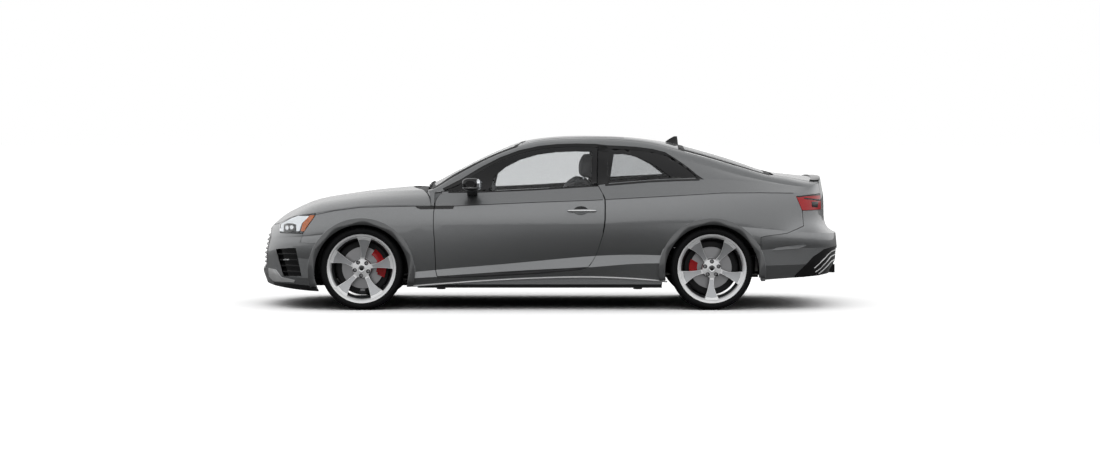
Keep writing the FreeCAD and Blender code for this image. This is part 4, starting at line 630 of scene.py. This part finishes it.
# the painted panels on the blades, cut from the CAD rim's own faces
def makeBladeFaces(v):
    spot = wheelSpots["front_left"]
    polar = [(r, math.radians(degrees + spot["turn"])) for r, degrees in v["outline"]]
    outline = [(spot["x"] + r * math.sin(angle), axleHeight + r * math.cos(angle)) for r, angle in polar]
    panel = skinPatch("rim_front_left", outline, v["thickness"], lambda normal, centre: normal.y < v["facing"],
                      v["low"], v["high"], shift=(-spot["x"], wheelPlane, -axleHeight))
    panel.rotation_euler = (0, math.radians(-spot["turn"]), 0)
    settle(panel)
    panels = [panel]
    for index in range(1, blades):
        copy = copyOf(panel)
        copy.rotation_euler = (0, math.radians(bladeStep * index), 0)
        settle(copy)
        panels.append(copy)
    return joined(panels)


turnedLooks = {
    "cap": {"steps": 48, "profile": [
        (0, -0.1052), (0.02, -0.1054), (0.0222, -0.1062), (0.025, -0.1062), (0.0262, -0.1048), (0.0262, -0.1032),
        (0, -0.1032)]},
    "capFace": {"steps": 48, "profile": [
        (0, -0.1064), (0.0155, -0.1064), (0.017, -0.1058), (0.017, -0.1048), (0, -0.1048)]},
    "shield": {"steps": 72, "profile": [
        (0.07, 0.054), (0.15, 0.054), (0.206, 0.056), (0.215, 0.05), (0.216, 0.0515), (0.207, 0.058),
        (0.15, 0.056), (0.07, 0.056)]},
}


# a piece modelled about the wheel's centre and facing the car's left, put on its axle
def wheelCopy(piece, spot, name, kind, turn=0.0, body=None):
    v = wheelSpots[spot]
    copy = copyOf(piece, name)
    copy.rotation_euler = (0, math.radians(turn), 0)
    settle(copy)
    if v["side"] > 0:
        copy.rotation_euler = (0, 0, math.pi)
    copy.location = (v["x"], v["side"] * wheelPlane, axleHeight)
    return finishPiece(copy, name, body or "wheel_" + spot, kind)


tyre, bolts = makeTyre(tyreLook), makeBolts(boltLook)
bladeFaces, wellShades = makeBladeFaces(bladeLook), makeWellShades(wellShadeLook)
cap, capFace, shield = [spun(v["profile"], v["steps"]) for v in turnedLooks.values()]
for spot, v in wheelSpots.items():
    label = spot.title().replace("_", "")
    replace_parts(wheelCopy(tyre, spot, "roadTyre" + label, "rubber"), "tyre_" + spot)
    wheelCopy(bolts, spot, "wheelBolts" + label, "iron", v["turn"])
    wheelCopy(wellShades, spot, "boltWells" + label, "glossBlack", v["turn"])
    wheelCopy(cap, spot, "wheelCap" + label, "silver")
    wheelCopy(capFace, spot, "capFace" + label, "glossBlack")
    wheelCopy(bladeFaces, spot, "bladeFaces" + label, "wheelPaint", v["turn"])
    wheelCopy(shield, spot, "dustShield" + label, "steel", body=v["carrier"])
for pattern in (tyre, bolts, wellShades, cap, capFace, bladeFaces, shield):
    bpy.data.objects.remove(pattern)
print("wheels dressed")


# the front calipers' long outer halves, seen between the blades

# a closed band between two radii about (x, z) and two angles
def ringOutline(x, z, inner, outer, start, end, steps):
    angles = [math.radians(start + (end - start) * k / steps) for k in range(steps + 1)]
    return ([(x + outer * math.cos(a), z + outer * math.sin(a)) for a in angles]
            + [(x + inner * math.cos(a), z + inner * math.sin(a)) for a in reversed(angles)])


caliperLook = {"inner": 0.126, "outer": 0.181, "start": -24, "end": 56, "steps": 20, "face": -0.0068, "back": 0.015,
               "border": 0.005, "hollow": -0.0025}


def makeCaliper(v, side):
    start, end = (v["start"], v["end"]) if side < 0 else (180 - v["end"], 180 - v["start"])
    arc = prismCutter(ringOutline(0, 0, v["inner"], v["outer"], start, end, v["steps"]), v["face"], v["back"])
    editFaces(arc, lambda normal, centre: normal.y < -straight)
    mesh.inset(thickness=v["border"], depth=v["hollow"])
    leaveEdit()
    return arc


for tag, side in sideways:
    arc = makeCaliper(caliperLook, side)
    wheelCopy(arc, "front_" + tag, "caliperFace" + tag.title(), "caliper", body="knuckle_" + tag)
    bpy.data.objects.remove(arc)
print("front calipers dressed")


# window trims, cut from the body's own skin

windowTop = [(-0.838, 0.944), (-0.686, 1.009), (-0.534, 1.101), (-0.382, 1.178), (-0.23, 1.234), (-0.078, 1.267),
             (0.074, 1.283), (0.226, 1.287), (0.378, 1.284), (0.47, 1.273), (0.56, 1.269), (0.7, 1.261),
             (0.832, 1.244), (0.936, 1.217), (1.006, 1.173), (1.077, 1.125), (1.133, 1.083), (1.176, 1.043)]
surroundLook = {
    "above": 0.026, "slim": 0.5, "slimBefore": -0.7, "forward": 0.01, "below": 0.03, "front": -0.84, "taper": 0.1,
    "rearFoot": [(1.225, 1.03), (1.176, 1.03)]}


# a band along the windows' top edge: slimmer above it at the front, and pointed below it there; in gloss black it is
# partly the window moulding and partly painted shade on the rail above the glass
def surroundOutline(v):
    top = [(x - v["forward"], z + v["above"] * (v["slim"] if x < v["slimBefore"] else 1)) for x, z in windowTop]
    foot = [(x, z - v["below"] * min(1, (x - v["front"]) / v["taper"])) for x, z in reversed(windowTop)]
    return top + v["rearFoot"] + foot[1:]


windowTrims = {
    "windowMouldingAndShade": {"names": "side_frame_{}", "outline": surroundOutline(surroundLook)},
    "pillarCover": {
        "names": "side_frame_{}", "outline": [(0.379, 0.985), (0.379, 1.3), (0.47, 1.29), (0.47, 0.996)]},
    "doorGlassBorder": {
        "names": "door_glass_{}", "thickness": film, "body": "door_{}",
        "outline": [(-0.9, 0.9), (-0.9, 1.35), (0.45, 1.35), (0.45, 0.9)], "hole": [
            (-0.475, 0.9), (-0.44, 1.05), (-0.3475, 1.125), (-0.234, 1.183), (-0.092, 1.224), (0.049, 1.243),
            (0.2, 1.249), (0.34, 1.247), (0.328, 0.9)]},
    "quarterGlassBorder": {
        "names": "quarter_glasses", "thickness": film,
        "outline": [(0.4, 0.95), (0.4, 1.35), (1.25, 1.35), (1.25, 0.95)], "hole": [
            (0.478, 1.02), (0.512, 1.226), (0.574, 1.229), (0.66, 1.216), (0.745, 1.187), (0.857, 1.129),
            (0.93, 1.074), (0.966, 1.045)]},
}
for label, values in windowTrims.items():
    addSidePatch(label, **values)
print("window trims made")


# lines, slots and strips of the sides

# a closed outline round a line: its points, then back along it lower by the width
def band(line, width):
    return line + [(x, z - width) for x, z in reversed(line)]


def heightOn(line, x):
    for (a, low), (b, high) in zip(line, line[1:]):
        if a <= x <= b:
            return low + (high - low) * (x - a) / (b - a)


# the part of a line between two x places
def stretch(line, start, end):
    return [(start, heightOn(line, start))] + [p for p in line if start < p[0] < end] + [(end, heightOn(line, end))]


# each line runs over several panels, as node, start and end in x, and body
lineLooks = {
    # the crease line is a thin dark plastic strip: painted shade for the dark line along the shoulder crease
    "crease": {
        "width": 0.0055, "thickness": 0.0004, "kind": "plastic", "line": [
            (-1.84, 0.7575), (-1.7, 0.7865), (-1.483, 0.8155), (-1.2, 0.8225), (-0.742, 0.8255), (-0.1, 0.8545),
            (0.343, 0.8705), (0.933, 0.9025), (1.374, 0.9275), (1.65, 0.9295), (1.925, 0.9255)],
        "panels": {"Fender": ("fender_{}", -1.84, -0.82, "body"), "Door": ("door_{}", -0.86, 0.445, "door_{}"),
                   "Quarter": ("side_frame_{}", 0.436, 1.925, "body")}},
    "beltSeal": {
        "width": 0.015, "thickness": cover, "kind": "glossBlack", "line": [
            (-0.8, 0.9375), (-0.502, 0.9425), (-0.14, 0.9575), (0.344, 0.9875), (0.47, 0.9955), (0.788, 1.0215),
            (1.0, 1.0305), (1.19, 1.0355)],
        "panels": {"Door": ("door_{}", -0.8, 0.44, "door_{}"), "Quarter": ("side_frame_{}", 0.44, 1.19, "body")}},
}
for label, v in lineLooks.items():
    for panel, (names, start, end, body) in v["panels"].items():
        addSidePatch(label + panel, names, band(stretch(v["line"], start, end), v["width"]), v["thickness"],
                     kind=v["kind"], body=body)
# a near-black strip along the door's rear edge: partly the seal behind the gap, partly painted shade that darkens the
# gap
doorRear = {"ahead": 0.006, "behind": 0.0045, "line": [
    (0.3125, 0.35), (0.355, 0.415), (0.381, 0.48), (0.403, 0.548), (0.42, 0.603), (0.432, 0.657), (0.4385, 0.72),
    (0.439, 0.777), (0.4395, 0.825), (0.438, 0.873), (0.429, 0.9), (0.416, 0.921), (0.399, 0.952), (0.386, 0.977)]}
rearSealAndGapShade = ([(x + doorRear["behind"], z) for x, z in doorRear["line"]]
            + [(x - doorRear["ahead"], z) for x, z in reversed(doorRear["line"])])
# a dark plastic band along the side skirt: painted shade along the sill
sillShade = [(-0.886, 0.272), (-0.5, 0.293), (-0.1, 0.318), (0.24, 0.336), (0.34, 0.343), (0.24, 0.318),
             (-0.1, 0.287), (-0.5, 0.264), (-0.886, 0.252)]
ventSlot = [(-1.059, 0.8225), (-0.748, 0.8245), (-0.76, 0.7995), (-1.015, 0.7965), (-1.043, 0.806)]
addSidePatch("sillShadeBand", "side_skirts", sillShade, film, "dark_plastic", "plastic")
addSidePatch("doorSealAndGapShade", "side_frame_{}", rearSealAndGapShade, 0.0015, "dark_plastic", "fritBlack")
addSidePatch("ventSlotFender", "fender_{}", ventSlot)
addSidePatch("ventSlotDoor", "door_{}", ventSlot, body="door_{}")

archLook = {"height": 0.305, "inner": 0.371, "outer": 0.4215, "steps": 48, "near": 0.905, "far": 0.929,
            "edge": 0.0022, "crown": 0.001, "Front": (frontAxle, -14, 197), "Rear": (rearAxle, -7, 190)}


# the lip of a wheel arch, its outer face set in by a narrow edge, in a darker copy of the body paint: painted shade for
# the lip that faces down
def makeArch(v, end, side):
    x, start, stop = v[end]
    outline = ringOutline(x, v["height"], v["inner"], v["outer"], start, stop, v["steps"])
    ring = prismCutter(outline, *span(side, v["near"], v["far"]))
    editFaces(ring, lambda normal, centre: abs(normal.y) > straight and abs(centre.y) > (v["near"] + v["far"]) / 2)
    mesh.inset(thickness=v["edge"], depth=v["crown"])
    leaveEdit()
    return ring


for end in ("Front", "Rear"):
    addPair("arch" + end, "archPaint", lambda tag, side: makeArch(archLook, end, side), smooth=25)
sillLook = {"radius": 0.007, "line": [
    (-1.075, 0.885, 0.19), (-0.9, 0.888, 0.2035), (-0.5, 0.89, 0.2335), (-0.1, 0.891, 0.2535),
    (0.3, 0.892, 0.2635), (0.7, 0.89, 0.2475), (0.93, 0.888, 0.225)]}
railLook = {"radius": 0.009, "line": [
    (-0.8, 0.756, 0.95), (-0.674, 0.733, 1.01), (-0.506, 0.697, 1.111), (-0.385, 0.671, 1.171),
    (-0.263, 0.647, 1.218), (-0.141, 0.631, 1.249), (-0.019, 0.623, 1.269), (0.163, 0.618, 1.28),
    (0.347, 0.614, 1.278), (0.455, 0.611, 1.271)]}
plateLook = {"near": 0.764, "far": 0.769,
             "outline": [(-0.935, 0.845), (-0.825, 0.845), (-0.825, 0.925), (-0.935, 0.915)]}
addSideTube("sillStrip", sillLook["line"], sillLook["radius"], "satinBright")
addSideTube("railSeal", railLook["line"], railLook["radius"], "plastic")
addPair("pillarPlate", "paint", smooth=0, make=lambda tag, side: prismCutter(
    plateLook["outline"], *span(side, plateLook["near"], plateLook["far"])))
print("side lines made")


# nose and tail

headlampTrim = {"names": "headlamps", "slot": "lamp_clear", "least": 0.0}
tailLampTrim = {"names": "tail_lamps", "slot": "lamp_red", "least": -0.2}
endTrims = {
    "intakeDash": {
        "names": "grille", "thickness": 0.0025, "slot": "wheel_alloy", "kind": "silver",
        "outline": [(-2.121, 0.392), (-2.071, 0.394), (-2.071, 0.386), (-2.121, 0.384)]},
    "frontBlade": {
        "names": "front_bumper", "thickness": 0.004, "slot": "wheel_alloy", "kind": "satinBright", "least": 0.02,
        "outline": [(-2.262, 0.308), (-2.19, 0.306), (-2.136, 0.247), (-2.02, 0.231), (-2.026, 0.213),
                    (-2.221, 0.209), (-2.262, 0.24)]},
    "frontLip": {
        "names": "front_bumper", "thickness": 0.002, "least": 0.02,
        "outline": [(-2.215, 0.204), (-2.03, 0.2), (-1.83, 0.188), (-1.6, 0.188), (-1.6, 0.05), (-2.215, 0.05)]},
    "dayLight": {
        **headlampTrim, "kind": "lampWhite", "outline": [
            (-2.15, 0.612), (-2.149, 0.668), (-2.044, 0.722), (-1.985, 0.74), (-1.895, 0.742), (-1.958, 0.686),
            (-1.979, 0.622), (-2.005, 0.619), (-2.007, 0.672), (-2.035, 0.679), (-2.09, 0.679), (-2.122, 0.665),
            (-2.12, 0.612)]},
    "sideMarker": {
        **headlampTrim, "kind": "amberLens", "thickness": 0.0014,
        "outline": [(-1.893, 0.748), (-1.849, 0.748), (-1.936, 0.619), (-1.968, 0.622), (-1.95, 0.686)]},
    "lampCover": {
        **headlampTrim, "kind": "lampGlass", "rise": 0.0045,
        "outline": [(-2.2, 0.59), (-2.2, 0.8), (-1.8, 0.8), (-1.8, 0.59)]},
    "tailTop": {
        **tailLampTrim, "thickness": 0.0014,
        "outline": [(1.955, 0.89), (1.962, 0.9085), (2.027, 0.915), (2.4, 0.921), (2.4, 0.902), (2.035, 0.899)]},
    "tailStripe": {
        **tailLampTrim,
        "outline": [(2.011, 0.886), (2.152, 0.868), (2.4, 0.86), (2.4, 0.85), (2.15, 0.857), (2.019, 0.877)]},
    "tailPanel": {
        **tailLampTrim,
        "outline": [(2.08, 0.852), (2.145, 0.849), (2.14, 0.806), (2.086, 0.81)]},
    "rearCorner": {
        "names": "rear_bumper", "least": -0.5,
        "outline": [(1.94, 0.271), (2.089, 0.418), (2.184, 0.473), (2.262, 0.487), (2.4, 0.487), (2.4, 0.1),
                    (1.94, 0.1)]},
}
for label, values in endTrims.items():
    addSidePatch(label, **values)
projectorLook = {"radius": 0.016, "thickness": 0.003, "step": 20, "A": (-2.088, 0.643), "B": (-2.046, 0.648)}
for mark in "AB":
    (x, z), r = projectorLook[mark], projectorLook["radius"]
    angles = [math.radians(degrees) for degrees in range(0, 360, projectorLook["step"])]
    circle = [(x + r * math.cos(a), z + r * math.sin(a)) for a in angles]
    addSidePatch("projector" + mark, outline=circle, kind="silver", thickness=projectorLook["thickness"],
                 **headlampTrim)

finisherLook = {"radius": 0.0055, "proud": 0.002, "lines": {
    "Upper": [(2.1, 0.78, 0.325), (2.13, 0.766, 0.35), (2.16, 0.745, 0.375), (2.19, 0.712, 0.4),
              (2.22, 0.66, 0.424), (2.25, 0.606, 0.446), (2.28, 0.53, 0.452), (2.3, 0.46, 0.454)],
    "Middle": [(2.11, 0.755, 0.293), (2.14, 0.732, 0.308), (2.17, 0.7045, 0.334), (2.2, 0.68, 0.36),
               (2.23, 0.638, 0.386), (2.25, 0.6, 0.408), (2.28, 0.523, 0.414), (2.3, 0.45, 0.416)],
    "Lower": [(2.14, 0.713, 0.278), (2.17, 0.674, 0.292), (2.2, 0.6435, 0.316), (2.23, 0.61, 0.342),
              (2.256, 0.579, 0.368), (2.28, 0.514, 0.373), (2.3, 0.437, 0.375)]}}
for label, line in finisherLook["lines"].items():
    proud = [(x, y + finisherLook["proud"], z) for x, y, z in line]
    addSideTube("finisher" + label, proud, finisherLook["radius"], "satinBright")

wedgeLook = {"near": 0.8, "far": 0.912, "lean": 0.03, "above": 0.5,
             "outline": [(1.752, 0.473), (1.83, 0.515), (2.027, 0.509), (1.964, 0.489)]}


# the crease ahead of the rear corner: a wedge whose upper edge leans in
def makeWedge(v, side):
    wedge = prismCutter(v["outline"], *span(side, v["near"], v["far"]))
    for corner in wedge.data.vertices:
        if corner.co.z > v["above"] and abs(corner.co.y) > (v["near"] + v["far"]) / 2:
            corner.co.y -= side * v["lean"]
    return wedge


addPair("rearCrease", "paint", lambda tag, side: makeWedge(wedgeLook, side), smooth=0)
mirrorReach, mirrorSkin = (0.7, 1.2), 0.001
mirrorLooks = {
    "mirrorGlass": {"slot": "glazing", "kind": "mirrorGlass", "keep": lambda normal, centre: normal.x > 0.45,
                    "outline": [(-0.7, 0.93), (-0.7, 1.06), (-0.5, 1.06), (-0.5, 0.93)]},
    "mirrorLine": {"slot": "wheel_alloy", "kind": "silver", "keep": lambda normal, centre: abs(normal.z) < 0.8,
                   "outline": [(-0.685, 0.972), (-0.532, 0.972), (-0.532, 0.964), (-0.685, 0.964)]},
}
for label, v in mirrorLooks.items():
    addPair(label, v["kind"], body="door_{}", make=lambda tag, side: skinPatch(
        "mirror_" + tag, v["outline"], mirrorSkin, v["keep"], *span(side, *mirrorReach)))
print("nose and tail trims made")


# borders of the front and rear glass, drawn in plan

# a hole's left half, from the middle of its front edge, mirrored to make the whole
def mirrored(half):
    return half[1:] + [(x, -y) for x, y in reversed(half) if y] + half[:1]


glassCut, frameCut = (0.85, 1.42), (0.98, 1.42)      # the heights that a cut in plan goes through
glassUp, frameUp = 0.05, 0.25      # how far up the kept faces look
borderLooks = {      # outer is the cut's front, rear and half width
    "screenBorder": {"node": "windscreen", "outer": (-1.02, -0.15, 0.8), "hole": [
        (-0.932, 0), (-0.925, -0.4), (-0.905, -0.655), (-0.66, -0.64), (-0.45, -0.588), (-0.285, -0.548),
        (-0.245, -0.3), (-0.232, 0)]},
    "rearBorder": {"node": "rear_window", "outer": (1.0, 1.83, 0.75), "hole": [
        (1.092, 0), (1.085, -0.466), (1.2, -0.48), (1.4, -0.505), (1.6, -0.542), (1.715, -0.57), (1.738, 0)]},
}
for label, v in borderLooks.items():
    front, rear, half = v["outer"]
    outer = [(front, -half), (rear, -half), (rear, half), (front, half)]
    border = skinPatch(v["node"], outer, film, lambda normal, centre: normal.z > glassUp, *glassCut, plan=True,
                       hole=mirrored(v["hole"]))
    finishPiece(border, label, "body", "fritBlack")
# bright strips standing for the highlight along the rear window's side and the deck's edge: painted highlights
railHighlightLooks = {
    "windowRailHighlight": {"width": 0.013, "line": [
        (1.085, 0.5155), (1.12, 0.518), (1.2, 0.524), (1.3, 0.533), (1.4, 0.548), (1.5, 0.566), (1.6, 0.587),
        (1.7, 0.611), (1.75, 0.623)]},
    "deckRailHighlight": {"width": 0.011, "line": [(1.795, 0.566), (1.955, 0.566)]},
}


# a bright strip beside the rear window, on the side frame's upper faces: a painted highlight along the panel's edge
def makeRailHighlight(v, tag, side):
    outline = [(x, side * y) for x, y in v["line"]] + [(x, side * (y + v["width"])) for x, y in reversed(v["line"])]
    return skinPatch("side_frame_" + tag, outline, cover, lambda normal, centre: normal.z > frameUp, *frameCut,
                     plan=True)


for label, v in railHighlightLooks.items():
    addPair(label, "satinBright", lambda tag, side: makeRailHighlight(v, tag, side))
print("glass borders made")


# cabin: seats as stuffed pads, blown up a little under their covers

bolsterSteps = ((0.28, 0.35), (0.33, 0.35), (0.4, 0.3))      # from this share of the width, rise by this share
narrowSteps = (0.05, 0.18, 0.3, 0.42)      # shares of the length above which a pad is narrowed again
softFrom, padCuts = 0.3, 11      # where the soft side starts in the thickness; cuts along each edge


# which way a pad's soft side and its top look, and how thick and long it is
def padAxes(v):
    up, ahead = mathutils.Vector((0, 0, 1)), mathutils.Vector((-1, 0, 0))
    length, width, height = v["size"]
    return (up, ahead, height, length) if v.get("lies") else (ahead, up, length, height)


# a pad with raised sides, narrowed towards its top
def makePad(v):
    clearSelection()
    mesh.primitive_cube_add(size=1)
    pad = bpy.context.object
    pad.scale = v["size"]
    settle(pad)
    editAll(pad)
    mesh.subdivide(number_cuts=padCuts)
    leaveEdit()
    front, top, thick, tall = padAxes(v)
    soft = lambda place: place.dot(front) > softFrom * thick and place.dot(top) < v["shoulder"] * tall
    for share, rise in bolsterSteps:
        editCorners(pad, lambda place: soft(place) and abs(place.y) > share * v["size"][1])
        bpy.ops.transform.translate(value=front * (v["bolster"] * rise))
        leaveEdit()
    for share in narrowSteps:
        editCorners(pad, lambda place: place.dot(top) > share * tall)
        bpy.ops.transform.resize(value=(1, v["narrow"], 1), center_override=(0, 0, 0))
        leaveEdit()
    return pad


stuffing = {"quality": 4, "steps": 12, "seamDepth": 0.007, "seamReach": 0.32}


# air pressure under every cover, stepped together and applied, then the sewn channels and one subdivision
def stuff(pads):
    for name, pad in pads.items():
        air = pad.modifiers.new("air", "CLOTH")
        air.settings.quality = stuffing["quality"]
        air.settings.use_pressure = True
        air.settings.uniform_pressure_force = padLooks[name]["pressure"]
        air.settings.effector_weights.gravity = 0
    for step in range(stuffing["steps"]):
        bpy.context.scene.frame_set(step + 1)
    for name, pad in pads.items():
        v = padLooks[name]
        front, top, thick, tall = padAxes(v)
        apply(pad, pad.modifiers["air"])
        for low, high in v["seams"]:
            editCorners(pad, lambda place: place.dot(front) > 0 and low < place.dot(top) < high
                        and abs(place.y) < stuffing["seamReach"] * v["size"][1])
            bpy.ops.transform.translate(value=front * -stuffing["seamDepth"])
            leaveEdit()
        rounder = pad.modifiers.new("round", "SUBSURF")
        rounder.levels = rounder.render_levels = 1
        apply(pad, rounder)
    bpy.context.scene.frame_set(1)


cushion = {"pressure": 3, "fill": 0.8}
headRest = {"pressure": 4, "fill": 0.9, "seams": (), "shoulder": 0.4, "narrow": 0.97, "lean": 10}
# size along x, y and z; a pad that lies has its soft side up; seams are ranges along its length
padLooks = {
    "frontCushion": {
        **cushion, "size": (0.44, 0.46, 0.115), "lies": True, "shoulder": 0.44, "bolster": 0.045, "narrow": 0.985,
        "seams": ((-0.1, -0.06), (0.01, 0.05), (0.11, 0.15)), "place": (-0.075, 0.37, 0.462), "lean": -4,
        "replaces": "front_seats"},
    "frontBack": {
        **cushion, "size": (0.1, 0.46, 0.6), "shoulder": 0.24, "bolster": 0.045, "narrow": 0.935,
        "seams": ((-0.17, -0.13), (-0.02, 0.02), (0.13, 0.17)), "place": (0.205, 0.37, 0.76), "lean": 13.5},
    "frontHead": {**headRest, "size": (0.085, 0.23, 0.17), "bolster": 0.008, "place": (0.312, 0.37, 1.128)},
    "rearCushion": {
        **cushion, "size": (0.29, 0.52, 0.1), "lies": True, "shoulder": 0.44, "bolster": 0.03, "narrow": 0.995,
        "seams": ((-0.05, -0.02), (0.045, 0.075)), "place": (0.725, 0.275, 0.412), "lean": -6,
        "replaces": "rear_seat"},
    "rearBack": {
        **cushion, "size": (0.085, 0.52, 0.45), "shoulder": 0.3, "bolster": 0.03, "narrow": 0.97,
        "seams": ((-0.1, -0.06), (0.06, 0.1)), "place": (0.965, 0.275, 0.665), "lean": 15},
    "rearHead": {**headRest, "size": (0.055, 0.2, 0.075), "bolster": 0.006, "place": (1.047, 0.3, 0.948)},
}
pads = {name: makePad(v) for name, v in padLooks.items()}
stuff(pads)
for name, v in padLooks.items():
    x, y, z = v["place"]
    for tag, side in sideways:
        pad = copyOf(pads[name], name)
        pad.location = (x, side * y, z)
        pad.rotation_euler = (0, math.radians(v["lean"]), 0)
        finishPiece(pad, name + tag.title(), "body", "leather", smooth=60)
        if "replaces" in v and tag == "left":
            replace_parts(pad, v["replaces"])
for pattern in pads.values():
    bpy.data.objects.remove(pattern)


# a block with rounded edges between two corners, leaned about its own middle
def makeBlock(low, high, edge, lean=0.0):
    clearSelection()
    mesh.primitive_cube_add(size=1, location=[(a + b) / 2 for a, b in zip(low, high)])
    block = bpy.context.object
    block.scale = [b - a for a, b in zip(low, high)]
    pick(block)
    bpy.ops.object.transform_apply(location=False, rotation=False, scale=True)
    editAll(block)
    mesh.bevel(offset=edge, segments=3, affect="EDGES")
    leaveEdit()
    block.rotation_euler = (0, math.radians(lean), 0)
    return block


# a round rod from start to end
def makeRod(start, end, radius):
    clearSelection()
    start, end = mathutils.Vector(start), mathutils.Vector(end)
    along = end - start
    mesh.primitive_cylinder_add(vertices=20, radius=radius, depth=along.length, location=start + along / 2)
    rod = bpy.context.object
    rod.rotation_euler = along.to_track_quat("Z", "Y").to_euler()
    return rod


# x, y and z each as its two limits on the car's right
base, shadePlate = {"edge": 0.012, "kind": "plastic"}, {"edge": 0.001, "kind": "fritBlack", "y": (0.448, 0.452)}
blockLooks = {
    "seatBase": {**base, "x": (-0.24, 0.14), "y": (0.19, 0.55), "z": (0.2035, 0.415)},
    "benchBase": {**base, "x": (0.575, 0.86), "y": (0.135, 0.545), "z": (0.215, 0.385)},
    # near-black plates inboard of the wheels: dark sheets as painted shade seen through the wheels
    "shadePlateFront": {**shadePlate, "x": (-1.9, -1.655), "z": (0.222, 0.305)},
    "shadePlateRear": {**shadePlate, "x": (1.36, 1.66), "z": (0.262, 0.47)},
}


def makeSideBlock(v, side):
    low, high = zip(v["x"], span(side, *v["y"]), v["z"])
    return makeBlock(low, high, v["edge"])


for label, v in blockLooks.items():
    addPair(label, v["kind"], lambda tag, side: makeSideBlock(v, side))
postLook = {"radius": 0.006, "ends": ((0.276, 1.02), (0.308, 1.15)), "Inner": 0.318, "Outer": 0.422}
for mark in ("Inner", "Outer"):
    addPair("headPost" + mark, "silver", lambda tag, side: makeRod(
        *[(x, side * postLook[mark], z) for x, z in postLook["ends"]], postLook["radius"]))
dashLook = {"low": (-0.716, -0.135, 0.895), "high": (-0.702, 0.135, 0.985), "edge": 0.004, "lean": -12}
finishPiece(makeBlock(**dashLook), "dashScreen", "body", "glossBlack")
print("cabin dressed")


# studio: camera, floor, light

studio = {"eye": (0.004, -20.0, 1.417), "tilt": 2.231, "lens": 79.396, "sensor": 36, "clip": 1000, "floorSize": 400,
          "floorShade": 0.115, "floorWhite": 1.1, "floorThrough": 1.0, "skyWhite": 0.667, "skyStrength": 1.5}


def grey(value):
    return (value, value, value, 1)


bpy.ops.object.camera_add(location=studio["eye"], rotation=(math.radians(90 - studio["tilt"]), 0, 0))
camera = bpy.context.object
camera.data.lens = studio["lens"]
camera.data.sensor_width = studio["sensor"]
camera.data.clip_end = studio["clip"]
bpy.context.scene.camera = camera

clearSelection()
mesh.primitive_plane_add(size=studio["floorSize"], location=(0, 0, 0))
floor = bpy.context.object
floor.name = "studioFloor"
floorMaterial, tree, shader = newMaterial("paleFloor", Roughness=0.9, Specular_IOR_Level=0.0)
ray = addNode(tree, "LightPath").outputs
through = addMix(tree, ray["Is Transmission Ray"], grey(studio["floorShade"]), grey(studio["floorThrough"]))
feed(tree, shader["Base Color"], addMix(tree, ray["Is Camera Ray"], through, grey(studio["floorWhite"])))
floor.data.materials.append(floorMaterial)

world = bpy.data.worlds.new("studioWorld")
bpy.context.scene.world = world
world.use_nodes = True
tree = world.node_tree
ray = addNode(tree, "LightPath").outputs
direction = addNode(tree, "SeparateXYZ", Vector=addNode(tree, "TexCoord").outputs["Generated"]).outputs


# grey values along one axis of the direction, from (position, value) stops
def greyRamp(axis, stops):
    ramp = addNode(tree, "ValToRGB", Fac=direction[axis])
    while len(ramp.color_ramp.elements) < len(stops):
        ramp.color_ramp.elements.new(0.5)
    for element, (position, value) in zip(ramp.color_ramp.elements, stops):
        element.position = position
        element.color = grey(value)
    return ramp.outputs["Color"]


sky = {"gloss": [(0.0, 0.58), (0.2, 0.78), (0.55, 0.54), (0.9, 0.27)], "far": [(0.7, 1.0), (0.98, 0.72)],
       "ambient": [(0.0, 0.0), (0.25, 0.05), (0.6, 0.8), (1.0, 1.0)]}
gloss = addMix(tree, 1, greyRamp("Z", sky["gloss"]), greyRamp("Y", sky["far"]), blend="MULTIPLY")
lit = addMix(tree, ray["Is Glossy Ray"], greyRamp("Z", sky["ambient"]), gloss)
seen = addMath(tree, "MAXIMUM", ray["Is Camera Ray"], ray["Is Transmission Ray"])
background = tree.nodes["Background"].inputs
feed(tree, background["Color"], addMix(tree, seen, lit, grey(studio["skyWhite"])))
feed(tree, background["Strength"], studio["skyStrength"])

lampLook = {"place": (0, 0.5, 7.0), "size": (9, 7), "power": 16}
bpy.ops.object.light_add(type="AREA", location=lampLook["place"])
lamp = bpy.context.object
lamp.name = "topSoft"
lamp.data.shape = "RECTANGLE"
lamp.data.size, lamp.data.size_y = lampLook["size"]
lamp.data.energy = lampLook["power"]
bpy.context.scene.view_settings.view_transform = "Standard"
print("studio ready")
